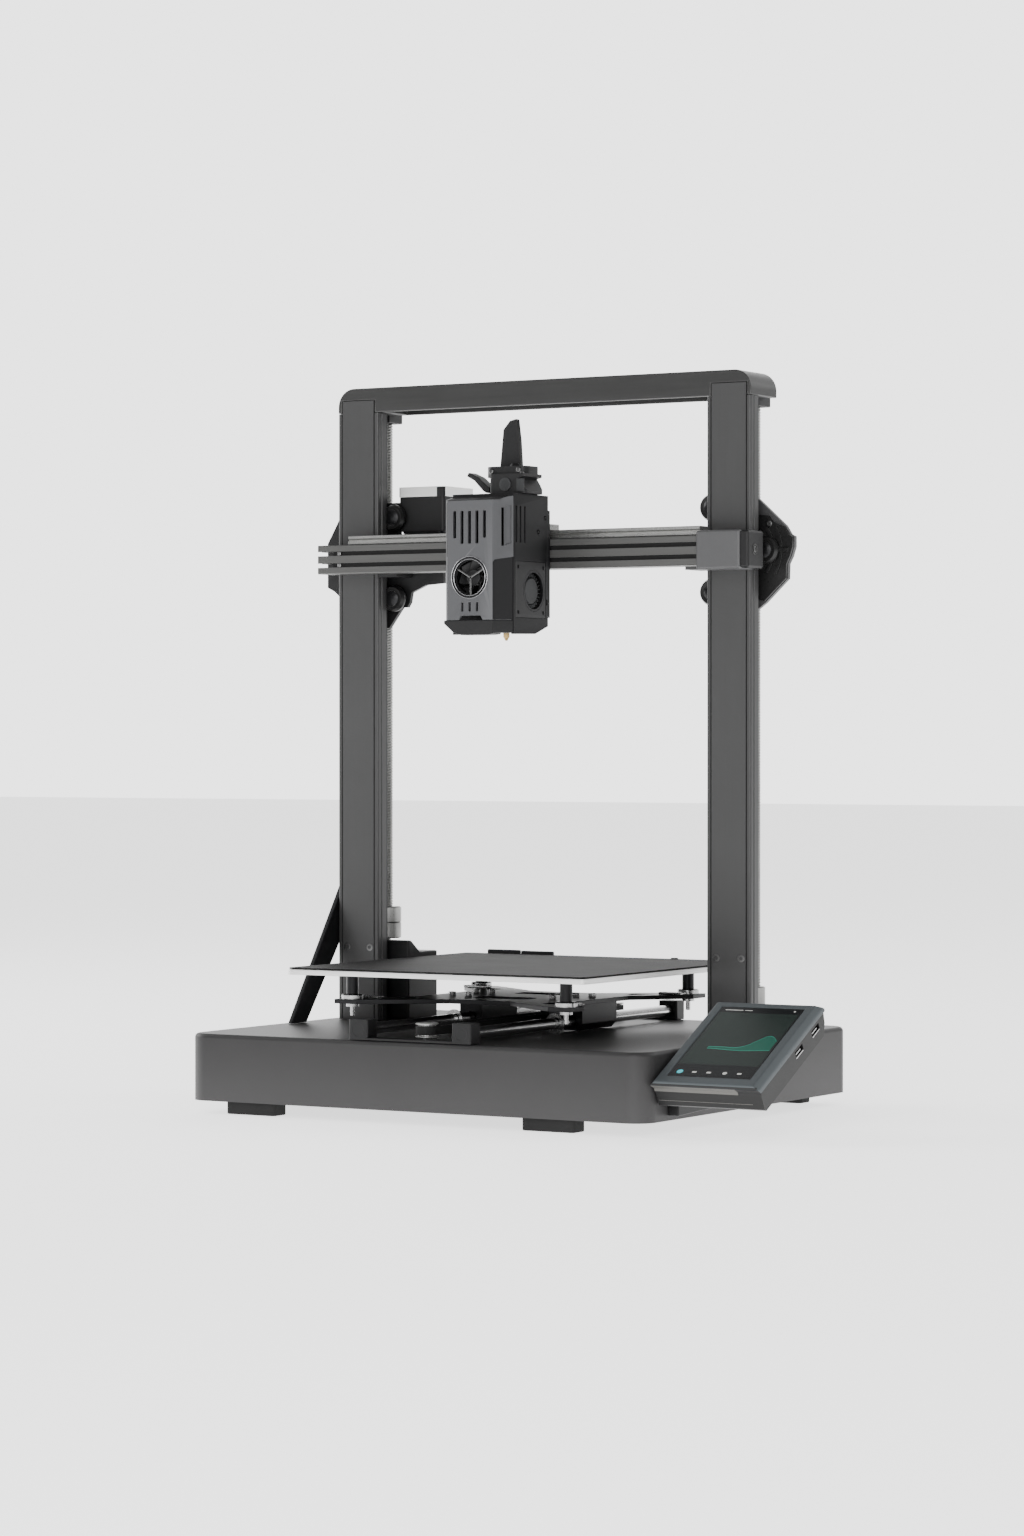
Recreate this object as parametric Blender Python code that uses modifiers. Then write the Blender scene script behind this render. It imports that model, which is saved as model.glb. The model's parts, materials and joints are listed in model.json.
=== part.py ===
"""Bed-slinger FDM printer: base with a sliding bed, two uprights, a gantry driven by two lead
screws, a print head on a linear rail and a tilted touch screen beside the base.

Sizes are in millimetres in the machine's own frame and are turned into metres on the way out:
X = 0 is the middle of the frame, Y = 0 the front face of the base, Z = 0 the surface it stands on.
"""

import math

import bmesh
import bpy
from mathutils import Matrix, Vector

MM = 0.001
# The whole model is moved so that its origin is the bottom centre of its bounding box.
ORIGIN = Vector((34.9, 149.55, 0.0))
GAP = 0.3  # clearance between pieces that touch

# Base
BASE_HALF_WIDTH = 180.0
BASE_DEPTH = 297.0
BASE_BOTTOM = 8.6
BASE_TOP = 54.5
BASE_CORNER = 15.0
WALL = 2.5
ON_BASE = BASE_TOP + GAP
FOOT_WIDTH = 40.0
FOOT_DEPTH = 16.0
FEET = {"foot_front_left": (-130.0, 12.0), "foot_front_right": (105.0, 12.0),
        "foot_rear_left": (-130.0, 285.0), "foot_rear_right": (131.0, 285.0)}

# Frame
UPRIGHT_X = 150.3
UPRIGHT_WIDTH = 34.0
UPRIGHT_FRONT = 170.5
UPRIGHT_STEP = 181.5
UPRIGHT_REAR = 190.5
GUIDE_HALF = 12.0
TOP_BEAM_BOTTOM = 490.0
TOP_BEAM_TOP = 507.5
TOP_BEAM_REAR = 208.5

# Lift drive
SCREW_X = 150.2
SCREW_Y = 209.3
SCREW_RADIUS = 4.0
SCREW_TOP = 488.5
BEARING_BOTTOM = 484.5
COVER_TOP = 111.5
COVER_LEDGE = 103.0
MOTOR_TOP = 51.4  # the two motors inside the base end just under its top
SHAFT_RADIUS = 2.5

# Gantry
BEAM_LEFT = -171.0
BEAM_RIGHT = 168.0
BEAM_FRONT = 149.5
BEAM_REAR = 169.5
BEAM_BOTTOM = 374.0
BEAM_TOP = 394.5
RAIL_TOP = 401.0
PLATE_FRONT = 191.0
PLATE_REAR = 194.5
WHEEL_RADIUS = 9.5
AXLE_RADIUS = 1.9
AXLE_STUB = 1.8
WHEEL_TREAD = 8.6
WHEEL_Y = 186.0
WHEEL_IN = UPRIGHT_X - GUIDE_HALF - WHEEL_TREAD
WHEEL_OUT = UPRIGHT_X + GUIDE_HALF + WHEEL_TREAD
WHEEL_HIGH = 415.0
WHEEL_MID = 385.0
WHEEL_LOW = 357.0
STEPPER = 35.0
X_MOTOR = (-110.0, 208.7)
X_IDLER = (134.0, 208.7)

# Belts and pulleys
PULLEY_RADIUS = 6.1
FLANGE_RADIUS = 7.9
BELT_INNER = 6.4
BELT_OUTER = 7.7
BELT_WIDTH = 6.0

# Bed
BED_HALF = 117.5
BED_FRONT = 30.5
BED_BACK = 265.5
BED_BOTTOM = 95.0
BED_TOP = 98.6
SHEET_TOP = 99.8
POST_X = 85.0
POST_FRONT = 63.0
POST_BACK = 233.0
POST_RADIUS = 4.2
CARRIAGE_TOP = 77.7
CARRIAGE_BOTTOM = 74.7
ROD_X = 40.5
ROD_Z = 61.5
ROD_RADIUS = 4.0
BUSH_FRONT = 146.0
BUSH_REAR = 194.0
Y_DRIVE = (0.0, 276.0)
Y_IDLER = (0.0, 24.0)

# Head
HEAD_LEFT = -26.0
HEAD_RIGHT = 23.0
HEAD_FRONT = 86.0
SHELL_FRONT = 98.3
SHELL_REAR = 144.6
NOZZLE_Y = 127.0
NOZZLE_TIP = 324.0
FAN_CENTRE = (-4.7, 366.5)
BLOWER_CENTRE = (125.7, 357.9)
EXTRUDER_TOP = 443.3
EXTRUDER_PLATE = 435.9
BLOCK_TOP = 405.5
LEVER_PIVOT = (-7.2, 117.0, 427.7)
COVER_LOW = 327.0
COVER_HIGH = 419.0

# Screen
SCREEN_CORNER = Vector((184.5, 3.5, 36.4))
SCREEN_TILT = math.radians(27.8)
SCREEN_WIDTH = 71.8
SCREEN_LENGTH = 103.2
SCREEN_CHAMFER = 3.5
BEZEL_THICK = 7.0
BODY_THICK = 14.5

# Rear power entry
INLET_X = 105.0
INLET_Z = 31.0
SWITCH_X = 86.0

for old in list(bpy.data.objects):
    bpy.data.objects.remove(old, do_unlink=True)

parts = bpy.data.collections.new("fdm_printer")
cutters = bpy.data.collections.new("cutters")
bpy.context.scene.collection.children.link(parts)
bpy.context.scene.collection.children.link(cutters)


def make_material(name, colour, roughness, metallic):
    material = bpy.data.materials.new(name)
    material.use_nodes = True
    shader = material.node_tree.nodes["Principled BSDF"]
    shader.inputs["Base Color"].default_value = (*colour, 1.0)
    shader.inputs["Roughness"].default_value = roughness
    shader.inputs["Metallic"].default_value = metallic
    return material


BASE_GREY = make_material("base_grey", (0.125, 0.12, 0.122), 0.45, 0.6)
FRAME_GREY = make_material("frame_grey", (0.09, 0.09, 0.09), 0.42, 0.7)
BLACK = make_material("black_plastic", (0.012, 0.012, 0.013), 0.5, 0.0)
BLACK_METAL = make_material("black_metal", (0.02, 0.02, 0.021), 0.4, 0.8)
STEEL = make_material("steel", (0.6, 0.6, 0.6), 0.25, 1.0)
ALUMINIUM = make_material("aluminium", (0.55, 0.55, 0.55), 0.35, 1.0)
COVER_GREY = make_material("cover_grey", (0.21, 0.21, 0.215), 0.4, 0.2)
SCREEN_GREY = make_material("screen_grey", (0.15, 0.165, 0.18), 0.45, 0.1)
GLASS = make_material("screen_glass", (0.01, 0.015, 0.018), 0.08, 0.0)
RUBBER = make_material("rubber", (0.015, 0.015, 0.015), 0.8, 0.0)
SHEET_BLACK = make_material("build_sheet", (0.035, 0.035, 0.035), 0.6, 0.0)


def world(x, y, z):
    return (Vector((x, y, z)) - ORIGIN) * MM


def add(name, mesh, material, centre=(0.0, 0.0, 0.0), collection=parts):
    """Link a mesh whose vertices are in millimetres around centre."""
    mesh.transform(Matrix.Scale(MM, 4))
    obj = bpy.data.objects.new(name, mesh)
    obj.location = world(*centre)
    collection.objects.link(obj)
    if material:
        mesh.materials.append(material)
    if collection is cutters:
        obj.hide_render = True
        obj.display_type = "WIRE"
    else:
        mesh.shade_smooth()
        mesh.set_sharp_from_angle(angle=math.radians(35))
    return obj


def to_mesh(name, shape):
    bmesh.ops.recalc_face_normals(shape, faces=shape.faces)
    if shape.calc_volume(signed=True) < 0:
        bmesh.ops.reverse_faces(shape, faces=shape.faces)
    mesh = bpy.data.meshes.new(name)
    shape.to_mesh(mesh)
    shape.free()
    return mesh


def box(name, low, high, material=None, upright=0.0, round_all=0.0, steps=3, collection=parts):
    """A box between two corners; upright rounds its vertical edges, round_all the rest too."""
    low, high = Vector(low), Vector(high)
    centre, size = (low + high) / 2, high - low
    shape = bmesh.new()
    bmesh.ops.create_cube(shape, size=1.0, matrix=Matrix.Diagonal((*size, 1.0)))
    if upright:
        edges = [e for e in shape.edges if abs((e.verts[0].co - e.verts[1].co).normalized().z) > 0.9]
        bmesh.ops.bevel(shape, geom=edges, offset=upright, segments=steps, profile=0.5, affect="EDGES")
    if round_all:
        bmesh.ops.bevel(shape, geom=shape.edges[:], offset=round_all, segments=1, profile=0.5,
                        affect="EDGES")
    return add(name, to_mesh(name, shape), material, centre, collection)


AXES = {"X": Matrix.Rotation(math.pi / 2, 4, "Y"), "Y": Matrix.Rotation(-math.pi / 2, 4, "X"),
        "Z": Matrix.Identity(4)}


def cylinder(name, centre, radius, length, axis="Z", material=None, sides=20, collection=parts):
    shape = bmesh.new()
    bmesh.ops.create_cone(shape, cap_ends=True, segments=sides, radius1=radius, radius2=radius,
                          depth=length, matrix=AXES[axis])
    return add(name, to_mesh(name, shape), material, centre, collection)


def turned(name, centre, profile, axis="Z", material=None, sides=20):
    """A solid of revolution. The profile is (radius, height) pairs from the top down."""
    shape = bmesh.new()
    points = [shape.verts.new((radius, 0.0, height)) for radius, height in profile]
    for a, b in zip(points, points[1:]):
        shape.edges.new((a, b))
    mesh = bpy.data.meshes.new(name)
    shape.to_mesh(mesh)
    shape.free()
    mesh.transform(Matrix.Scale(MM, 4))
    obj = bpy.data.objects.new(name, mesh)
    parts.objects.link(obj)
    obj.location = world(*centre)
    obj.rotation_euler = AXES[axis].to_euler()
    mesh.materials.append(material)
    spin = obj.modifiers.new("Turn", "SCREW")
    spin.steps = spin.render_steps = sides
    spin.use_merge_vertices = True
    spin.merge_threshold = 0.00001
    spin.use_smooth_shade = True
    return obj


def prism(name, outline, axis, start, end, material=None, collection=parts, centre=None):
    """A flat outline extruded along an axis. The outline's pairs are the other two axes in
    X, Y, Z order."""
    half = abs(end - start) / 2
    middle = (start + end) / 2
    curve = bpy.data.curves.new(name, "CURVE")
    curve.dimensions = "2D"
    curve.fill_mode = "BOTH"
    curve.extrude = half
    spline = curve.splines.new("POLY")
    spline.points.add(len(outline) - 1)
    for point, (a, b) in zip(spline.points, outline):
        point.co = (a, b, 0.0, 1.0)
    spline.use_cyclic_u = True
    drawn = bpy.data.objects.new(name + "_outline", curve)
    bpy.context.scene.collection.objects.link(drawn)
    mesh = bpy.data.meshes.new_from_object(drawn.evaluated_get(bpy.context.evaluated_depsgraph_get()))
    bpy.data.objects.remove(drawn)
    shape = bmesh.new()
    shape.from_mesh(mesh)
    bmesh.ops.remove_doubles(shape, verts=shape.verts, dist=0.001)
    turn = {"Z": ((1, 0, 0), (0, 1, 0), (0, 0, 1)), "Y": ((1, 0, 0), (0, 0, 1), (0, 1, 0)),
            "X": ((0, 0, 1), (1, 0, 0), (0, 1, 0))}[axis]
    shift = {"X": Vector((middle, 0, 0)), "Y": Vector((0, middle, 0)), "Z": Vector((0, 0, middle))}
    centre = Vector(centre) if centre else Vector((0.0, 0.0, 0.0))
    for vert in shape.verts:
        vert.co = Matrix(turn) @ vert.co + shift[axis] - centre
    return add(name, to_mesh(name, shape), material, centre, collection)


def boolean(target, tool, operation):
    if tool.name not in cutters.objects:
        parts.objects.unlink(tool)
        cutters.objects.link(tool)
        tool.hide_render = True
        tool.display_type = "WIRE"
    step = target.modifiers.new(operation.title(), "BOOLEAN")
    step.operation = operation
    step.object = tool


def cut(target, *tools):
    for tool in tools:
        boolean(target, tool, "DIFFERENCE")


def join(target, *tools):
    for tool in tools:
        boolean(target, tool, "UNION")


def arc(centre, radius, start, end, steps):
    """Points on an arc, angles in degrees."""
    angles = [math.radians(start + (end - start) * i / steps) for i in range(steps + 1)]
    return [(centre[0] + radius * math.cos(a), centre[1] + radius * math.sin(a)) for a in angles]


def mirrored(outline):
    return [(-x, z) for x, z in reversed(outline)]


def build_base():
    shell = box("base_shell", (-BASE_HALF_WIDTH, 0, BASE_BOTTOM), (BASE_HALF_WIDTH, BASE_DEPTH, BASE_TOP),
                BASE_GREY)
    shape = bmesh.new()
    shape.from_mesh(shell.data)
    corners = [e for e in shape.edges if abs((e.verts[0].co - e.verts[1].co).normalized().z) > 0.9]
    bmesh.ops.bevel(shape, geom=corners, offset=BASE_CORNER * MM, segments=7, profile=0.5, affect="EDGES")
    floor = [f for f in shape.faces if f.normal.z < -0.9]
    bmesh.ops.delete(shape, geom=floor, context="FACES")
    rim = [e for e in shape.edges
           if all(v.co.z > 0 for v in e.verts) and any(f.normal.z > 0.9 for f in e.link_faces)]
    bmesh.ops.bevel(shape, geom=rim, offset=3 * MM, segments=2, profile=0.5, affect="EDGES")
    shape.to_mesh(shell.data)
    shape.free()
    skin = shell.modifiers.new("Wall", "SOLIDIFY")
    skin.thickness = WALL * MM
    skin.offset = -1.0
    cut(shell,
        box("inlet_opening", (INLET_X - 32, BASE_DEPTH - 8, INLET_Z - 13),
            (INLET_X + 14, BASE_DEPTH + 4, INLET_Z + 13), collection=cutters),
        cylinder("y_shaft_hole", (*Y_DRIVE, BASE_TOP), 4.0, 12.0, collection=cutters),
        cylinder("lift_shaft_hole", (SCREW_X, SCREW_Y, BASE_TOP), 4.0, 12.0, collection=cutters))
    inset = WALL + GAP
    box("bottom_plate", (-BASE_HALF_WIDTH + inset, inset, 9.0),
        (BASE_HALF_WIDTH - inset, BASE_DEPTH - inset, 10.5),
        BLACK_METAL, upright=BASE_CORNER - inset, steps=5)
    for name, (x, y) in FEET.items():
        low, high = (x - FOOT_WIDTH / 2, y - FOOT_DEPTH / 2, 0), (x + FOOT_WIDTH / 2, y + FOOT_DEPTH / 2, 8.7)
        box(name, low, high, RUBBER, upright=2, steps=2)


def build_electrics():
    supply = box("power_supply", (12, 40, 11), (126, 240, 41), ALUMINIUM, upright=2, steps=1)
    cut(supply, box("terminal_recess", (11, 225, 26), (127, 241, 42), collection=cutters))
    board = box("control_board", (-150, 150, 15), (-45, 240, 16.6), BLACK_METAL)
    join(board, box("connector_row", (-140, 225, 16), (-60, 236, 26), collection=cutters),
         box("heat_sink", (-120, 180, 16), (-75, 205, 30), collection=cutters))
    for i, (x, y) in enumerate(((-145, 155), (-50, 155), (-145, 232), (-50, 232))):
        join(board, cylinder("board_post_%d" % i, (x, y, 13.2), 2.5, 4.8, sides=8, collection=cutters))
    inlet = box("power_inlet", (INLET_X - 33.5, BASE_DEPTH + GAP, INLET_Z - 14.5),
                (INLET_X + 15.5, BASE_DEPTH + 2.1, INLET_Z + 14.5), BLACK)
    join(inlet, box("inlet_body", (INLET_X - 31.5, BASE_DEPTH - 22, INLET_Z - 12.5),
                    (INLET_X + 13.5, BASE_DEPTH + 1, INLET_Z + 12.5), collection=cutters))
    cut(inlet, box("socket_hollow", (INLET_X - 11.5, BASE_DEPTH - 15, INLET_Z - 8),
                   (INLET_X + 11.5, BASE_DEPTH + 4, INLET_Z + 8), collection=cutters),
        box("switch_hollow", (SWITCH_X - 6.6, BASE_DEPTH - 12, INLET_Z - 10.4),
            (SWITCH_X + 6.6, BASE_DEPTH + 4, INLET_Z + 10.4), collection=cutters))
    rocker = [(-9.4, 0.0), (-9.2, 3.4), (0.0, 2.0), (9.2, 2.0), (9.4, 0.0), (4.0, -4.5), (-4.0, -4.5)]
    pivot_y = BASE_DEPTH - 2.5
    prism("power_switch", [(pivot_y + y, INLET_Z + z) for z, y in rocker], "X", SWITCH_X - 6, SWITCH_X + 6,
          BLACK, centre=(SWITCH_X, pivot_y, INLET_Z))


def pulley(name, x, y, bottom, shaft_low, shaft_high):
    """A belt pulley with two flanges on a short shaft."""
    top = bottom + BELT_WIDTH + 4
    profile = [(0.0, shaft_high), (2.5, shaft_high), (2.5, top), (FLANGE_RADIUS, top),
               (FLANGE_RADIUS, top - 1.2), (PULLEY_RADIUS, top - 1.2), (PULLEY_RADIUS, bottom + 1.2),
               (FLANGE_RADIUS, bottom + 1.2), (FLANGE_RADIUS, bottom), (2.5, bottom), (2.5, shaft_low),
               (0.0, shaft_low)]
    profile = [(r, z - bottom) for i, (r, z) in enumerate(profile)
               if not (i in (1, 2) and shaft_high <= top) and not (i in (9, 10) and shaft_low >= bottom)]
    return turned(name, (x, y, bottom), profile, material=ALUMINIUM, sides=18)


def build_belt(name, start, end, low, along, across):
    """A flat belt round two pulleys of equal size, between two centres along X or Y."""
    def track(radius):
        ends = arc((start, 0), radius, 90, 270, 8) + arc((end, 0), radius, -90, 90, 8)
        return [(a, across + b) if along == "X" else (across + b, a) for a, b in ends]
    belt = prism(name, track(BELT_OUTER), "Z", low, low + BELT_WIDTH, RUBBER)
    cut(belt, prism(name + "_inside", track(BELT_INNER), "Z", low - 1, low + BELT_WIDTH + 1,
                    collection=cutters))


def build_bed_drive():
    rod_front, rod_rear = 4.0, BASE_DEPTH - 4.0
    for side, x in (("left", -ROD_X), ("right", ROD_X)):
        cylinder("y_rod_" + side, (x, (rod_front + rod_rear) / 2, ROD_Z), ROD_RADIUS, rod_rear - rod_front,
                 "Y", STEEL, 16)
    for name, low, high in (("rod_holder_front", 1.5, 14.2), ("rod_holder_rear", 283.8, 296.0)):
        bar = box(name, (-ROD_X - 6, low, ON_BASE), (ROD_X + 6, high, ON_BASE + 1.6), BLACK)
        for side in (-1, 1):
            x = side * ROD_X
            join(bar, box("%s_block_%d" % (name, side), (x - 7.5, low, ON_BASE), (x + 7.5, high, 68.5),
                          upright=1, steps=1, collection=cutters))
            cut(bar, cylinder("%s_bore_%d" % (name, side), (x, (low + high) / 2, ROD_Z), ROD_RADIUS + GAP,
                              40.0, "Y", sides=16, collection=cutters))
    motor_half = STEPPER / 2
    x, y = Y_DRIVE
    box("y_motor", (x - motor_half, y - motor_half, 15), (x + motor_half, y + motor_half, MOTOR_TOP),
        BLACK_METAL, upright=3, steps=1)
    pulley("y_drive_pulley", *Y_DRIVE, 56.5, MOTOR_TOP + GAP, 66.5)
    pulley("y_idler_pulley", *Y_IDLER, 56.5, ON_BASE, 66.5)
    build_belt("y_belt", Y_IDLER[1], Y_DRIVE[1], 58.5, "Y", 0.0)


def build_bed():
    """The sliding bed: carriage with two bushings, four posts, heated plate and print sheet."""
    middle = (POST_FRONT + POST_BACK) / 2
    arm = 9.0
    quarter = [(POST_X - arm, POST_FRONT - arm), (POST_X + arm, POST_FRONT - arm),
               (POST_X + arm, POST_FRONT + arm), (62.0, 108.0), (62.0, middle)]
    right = quarter + [(x, 2 * middle - y) for x, y in reversed(quarter[:-1])]
    rear_notch, front_notch = (24.0, 2 * middle - 92.0), (24.0, 92.0)
    outline = [front_notch] + right + [rear_notch]
    outline += [(-x, y) for x, y in reversed(outline)]
    carriage = prism("bed_carriage", outline, "Z", CARRIAGE_BOTTOM, CARRIAGE_TOP, BLACK_METAL)
    for side in (-1, 1):
        x = side * ROD_X
        bush = [(x - 9, CARRIAGE_BOTTOM + 1), (x - 9, 60), (x - 5, 55.4), (x + 5, 55.4), (x + 9, 60),
                (x + 9, CARRIAGE_BOTTOM + 1)]
        join(carriage, prism("bush_%d" % side, bush, "Y", BUSH_FRONT, BUSH_REAR, collection=cutters))
        cut(carriage, cylinder("bush_bore_%d" % side, (x, middle, ROD_Z), ROD_RADIUS + GAP, 200, "Y",
                               sides=16, collection=cutters))
        for y in (POST_FRONT, POST_BACK):
            place = (side * POST_X, y, (CARRIAGE_TOP + BED_BOTTOM) / 2 - 1)
            join(carriage, cylinder("post_%d_%d" % (side, y), place, POST_RADIUS,
                                    BED_BOTTOM - CARRIAGE_TOP + 2 - 2 * GAP, sides=12, collection=cutters))
    join(carriage, box("belt_clamp", (BELT_OUTER + GAP, 160, 58.5), (15, 180, CARRIAGE_BOTTOM + 1),
                       collection=cutters))
    box("heated_bed", (-BED_HALF, BED_FRONT, BED_BOTTOM), (BED_HALF, BED_BACK, BED_TOP), ALUMINIUM,
        upright=3, steps=2)
    box("build_sheet", (-BED_HALF, BED_FRONT, BED_TOP + GAP), (BED_HALF, BED_BACK, SHEET_TOP), SHEET_BLACK,
        upright=3, steps=2)


def upright_outline(x):
    """Section of an upright: a wide front with shallow edge grooves and a guide with V grooves."""
    half, edge = UPRIGHT_WIDTH / 2, 1.5
    groove_y, groove = WHEEL_Y, 3.3
    right = [(half - edge, UPRIGHT_FRONT), (half, UPRIGHT_FRONT + edge), (half, UPRIGHT_STEP),
             (GUIDE_HALF, UPRIGHT_STEP), (GUIDE_HALF, groove_y - groove), (GUIDE_HALF - 2.0, groove_y),
             (GUIDE_HALF, groove_y + groove), (GUIDE_HALF, UPRIGHT_REAR)]
    left = [(-a, y) for a, y in reversed(right)]
    return [(x + a, y) for a, y in right + left]


def build_frame():
    for side, x in (("left", -UPRIGHT_X), ("right", UPRIGHT_X)):
        prism("upright_" + side, upright_outline(x), "Z", ON_BASE, TOP_BEAM_BOTTOM - GAP, FRAME_GREY)
    half = UPRIGHT_X + UPRIGHT_WIDTH / 2
    corner = 13.0
    outline = [(-half, TOP_BEAM_BOTTOM), (half, TOP_BEAM_BOTTOM)]
    outline += arc((half - corner, TOP_BEAM_TOP - corner), corner, 0, 90, 5)
    outline += arc((corner - half, TOP_BEAM_TOP - corner), corner, 90, 180, 5)
    beam = prism("top_beam", outline, "Y", UPRIGHT_FRONT, TOP_BEAM_REAR, FRAME_GREY)
    for side in (-1, 1):
        x = side * SCREW_X
        join(beam, box("screw_bearing_%d" % side, (x - 8, SCREW_Y - 10, BEARING_BOTTOM),
                       (x + 8, SCREW_Y + 8, TOP_BEAM_BOTTOM + 4), collection=cutters))
        cut(beam, cylinder("bearing_bore_%d" % side, (x, SCREW_Y, (BEARING_BOTTOM + SCREW_TOP) / 2),
                           SCREW_RADIUS + GAP, SCREW_TOP - BEARING_BOTTOM + 1, sides=16, collection=cutters))
    brace = [(111, ON_BASE), (130, ON_BASE), (178, 117), (178, 152)]
    outer = -half - GAP
    prism("brace_left", brace, "X", outer - 3.5, outer, BLACK_METAL)


def lead_screw(name, x, foot, coupler_low, coupler_high, coupler_radius):
    """An 8 mm screw with the coupler that joins it to its motor's shaft."""
    profile = [(0.0, SCREW_TOP), (SCREW_RADIUS, SCREW_TOP), (SCREW_RADIUS, coupler_high),
               (coupler_radius, coupler_high), (coupler_radius, coupler_low), (SHAFT_RADIUS, coupler_low),
               (SHAFT_RADIUS, foot), (0.0, foot)]
    turned(name, (x, SCREW_Y, foot), [(r, z - foot) for r, z in profile], material=STEEL, sides=16)


def build_lift_drive():
    """The left motor stands on the base under a cover, the right one hangs inside the base."""
    cover = [(191, ON_BASE), (230, ON_BASE), (230, COVER_LEDGE), (207, COVER_LEDGE), (195, COVER_TOP),
             (191, COVER_TOP)]
    prism("z_motor_left", cover, "X", -172.0, -120.5, BLACK)
    lead_screw("lead_screw_left", -SCREW_X, COVER_LEDGE + GAP, 112, 135, 10.0)
    half = STEPPER / 2
    box("z_motor_right", (SCREW_X - half, SCREW_Y - half, 15), (SCREW_X + half, SCREW_Y + half, MOTOR_TOP),
        BLACK_METAL, upright=3, steps=1)
    lead_screw("lead_screw_right", SCREW_X, MOTOR_TOP + GAP, 58, 86, 7.2)


def bracket_outline(side):
    """Rear plate of the gantry bracket; the left one also reaches in to the motor shelf."""
    tip, top = (137.0, 336.0), 426.0
    if side == "right":
        outer = [(168.0, 349.3), (185.0, 365.3), (185.3, 375.4), (188.0, 380.5), (190.0, 387.0),
                 (190.0, 394.1), (187.1, 395.5), (183.4, 401.4), (160.7, 421.7), (154.0, top)]
        return [tip, (150.0, tip[1])] + outer + [(123.5, top), (123.5, 366.0), (125.0, 351.0)]
    outer = [(150.0, tip[1]), (168.0, 349.3), (184.0, 363.0), (190.0, 366.0), (190.0, 398.0), (183.8, 408.5),
             (174.0, top)]
    inner = [(128.2, top), (128.2, 403.3), (92.0, 403.3), (92.0, 397.0), (102.0, 397.0), (102.0, 382.0),
             (91.0, 382.0), (91.0, 367.5), (106.0, 366.4), (118.1, 361.2), (119.4, 354.3), (121.6, 350.7),
             (126.0, 350.7)]
    return mirrored([tip] + outer + inner)


def build_bracket(side, sign):
    name = "gantry_bracket_" + side
    bracket = prism(name, bracket_outline(side), "Y", PLATE_FRONT, PLATE_REAR, BLACK)

    def extent(a, b):
        return sorted((sign * a, sign * b))
    x0, x1 = extent(117.0, 132.6)
    join(bracket, box(name + "_link", (x0, BEAM_REAR + GAP, BEAM_BOTTOM - 2), (x1, PLATE_FRONT + 1, 382),
                      collection=cutters))
    x0, x1 = extent(SCREW_X - 10, SCREW_X + 10)
    join(bracket, box(name + "_nut", (x0, PLATE_REAR - 1, 362), (x1, SCREW_Y + 11, 377), collection=cutters))
    cut(bracket, cylinder(name + "_nut_bore", (sign * SCREW_X, SCREW_Y, 370), SCREW_RADIUS + GAP, 30,
                          sides=16, collection=cutters))
    for x, z in ((WHEEL_IN, WHEEL_HIGH), (WHEEL_IN, WHEEL_LOW), (WHEEL_OUT, WHEEL_MID)):
        stub = (sign * x, PLATE_FRONT - GAP, z)
        join(bracket, cylinder("%s_axle_%d_%d" % (name, x, z), stub, AXLE_RADIUS, AXLE_STUB, "Y", sides=10,
                               collection=cutters))
    if side == "left":
        shelf = box(name + "_shelf", (-128.2, PLATE_REAR - 1, 400), (-92, 227, 403.3), collection=cutters)
        join(bracket, shelf)
        cut(bracket, cylinder(name + "_shaft_hole", (*X_MOTOR, 402), 5.0, 12, sides=16, collection=cutters))
    else:
        for i, low in enumerate((381.0, 395.4)):
            join(bracket, box("%s_fork_%d" % (name, i), (125.5, PLATE_REAR - 1, low),
                              (141.8, X_IDLER[1] + 8, low + 2.2), collection=cutters))


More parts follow.
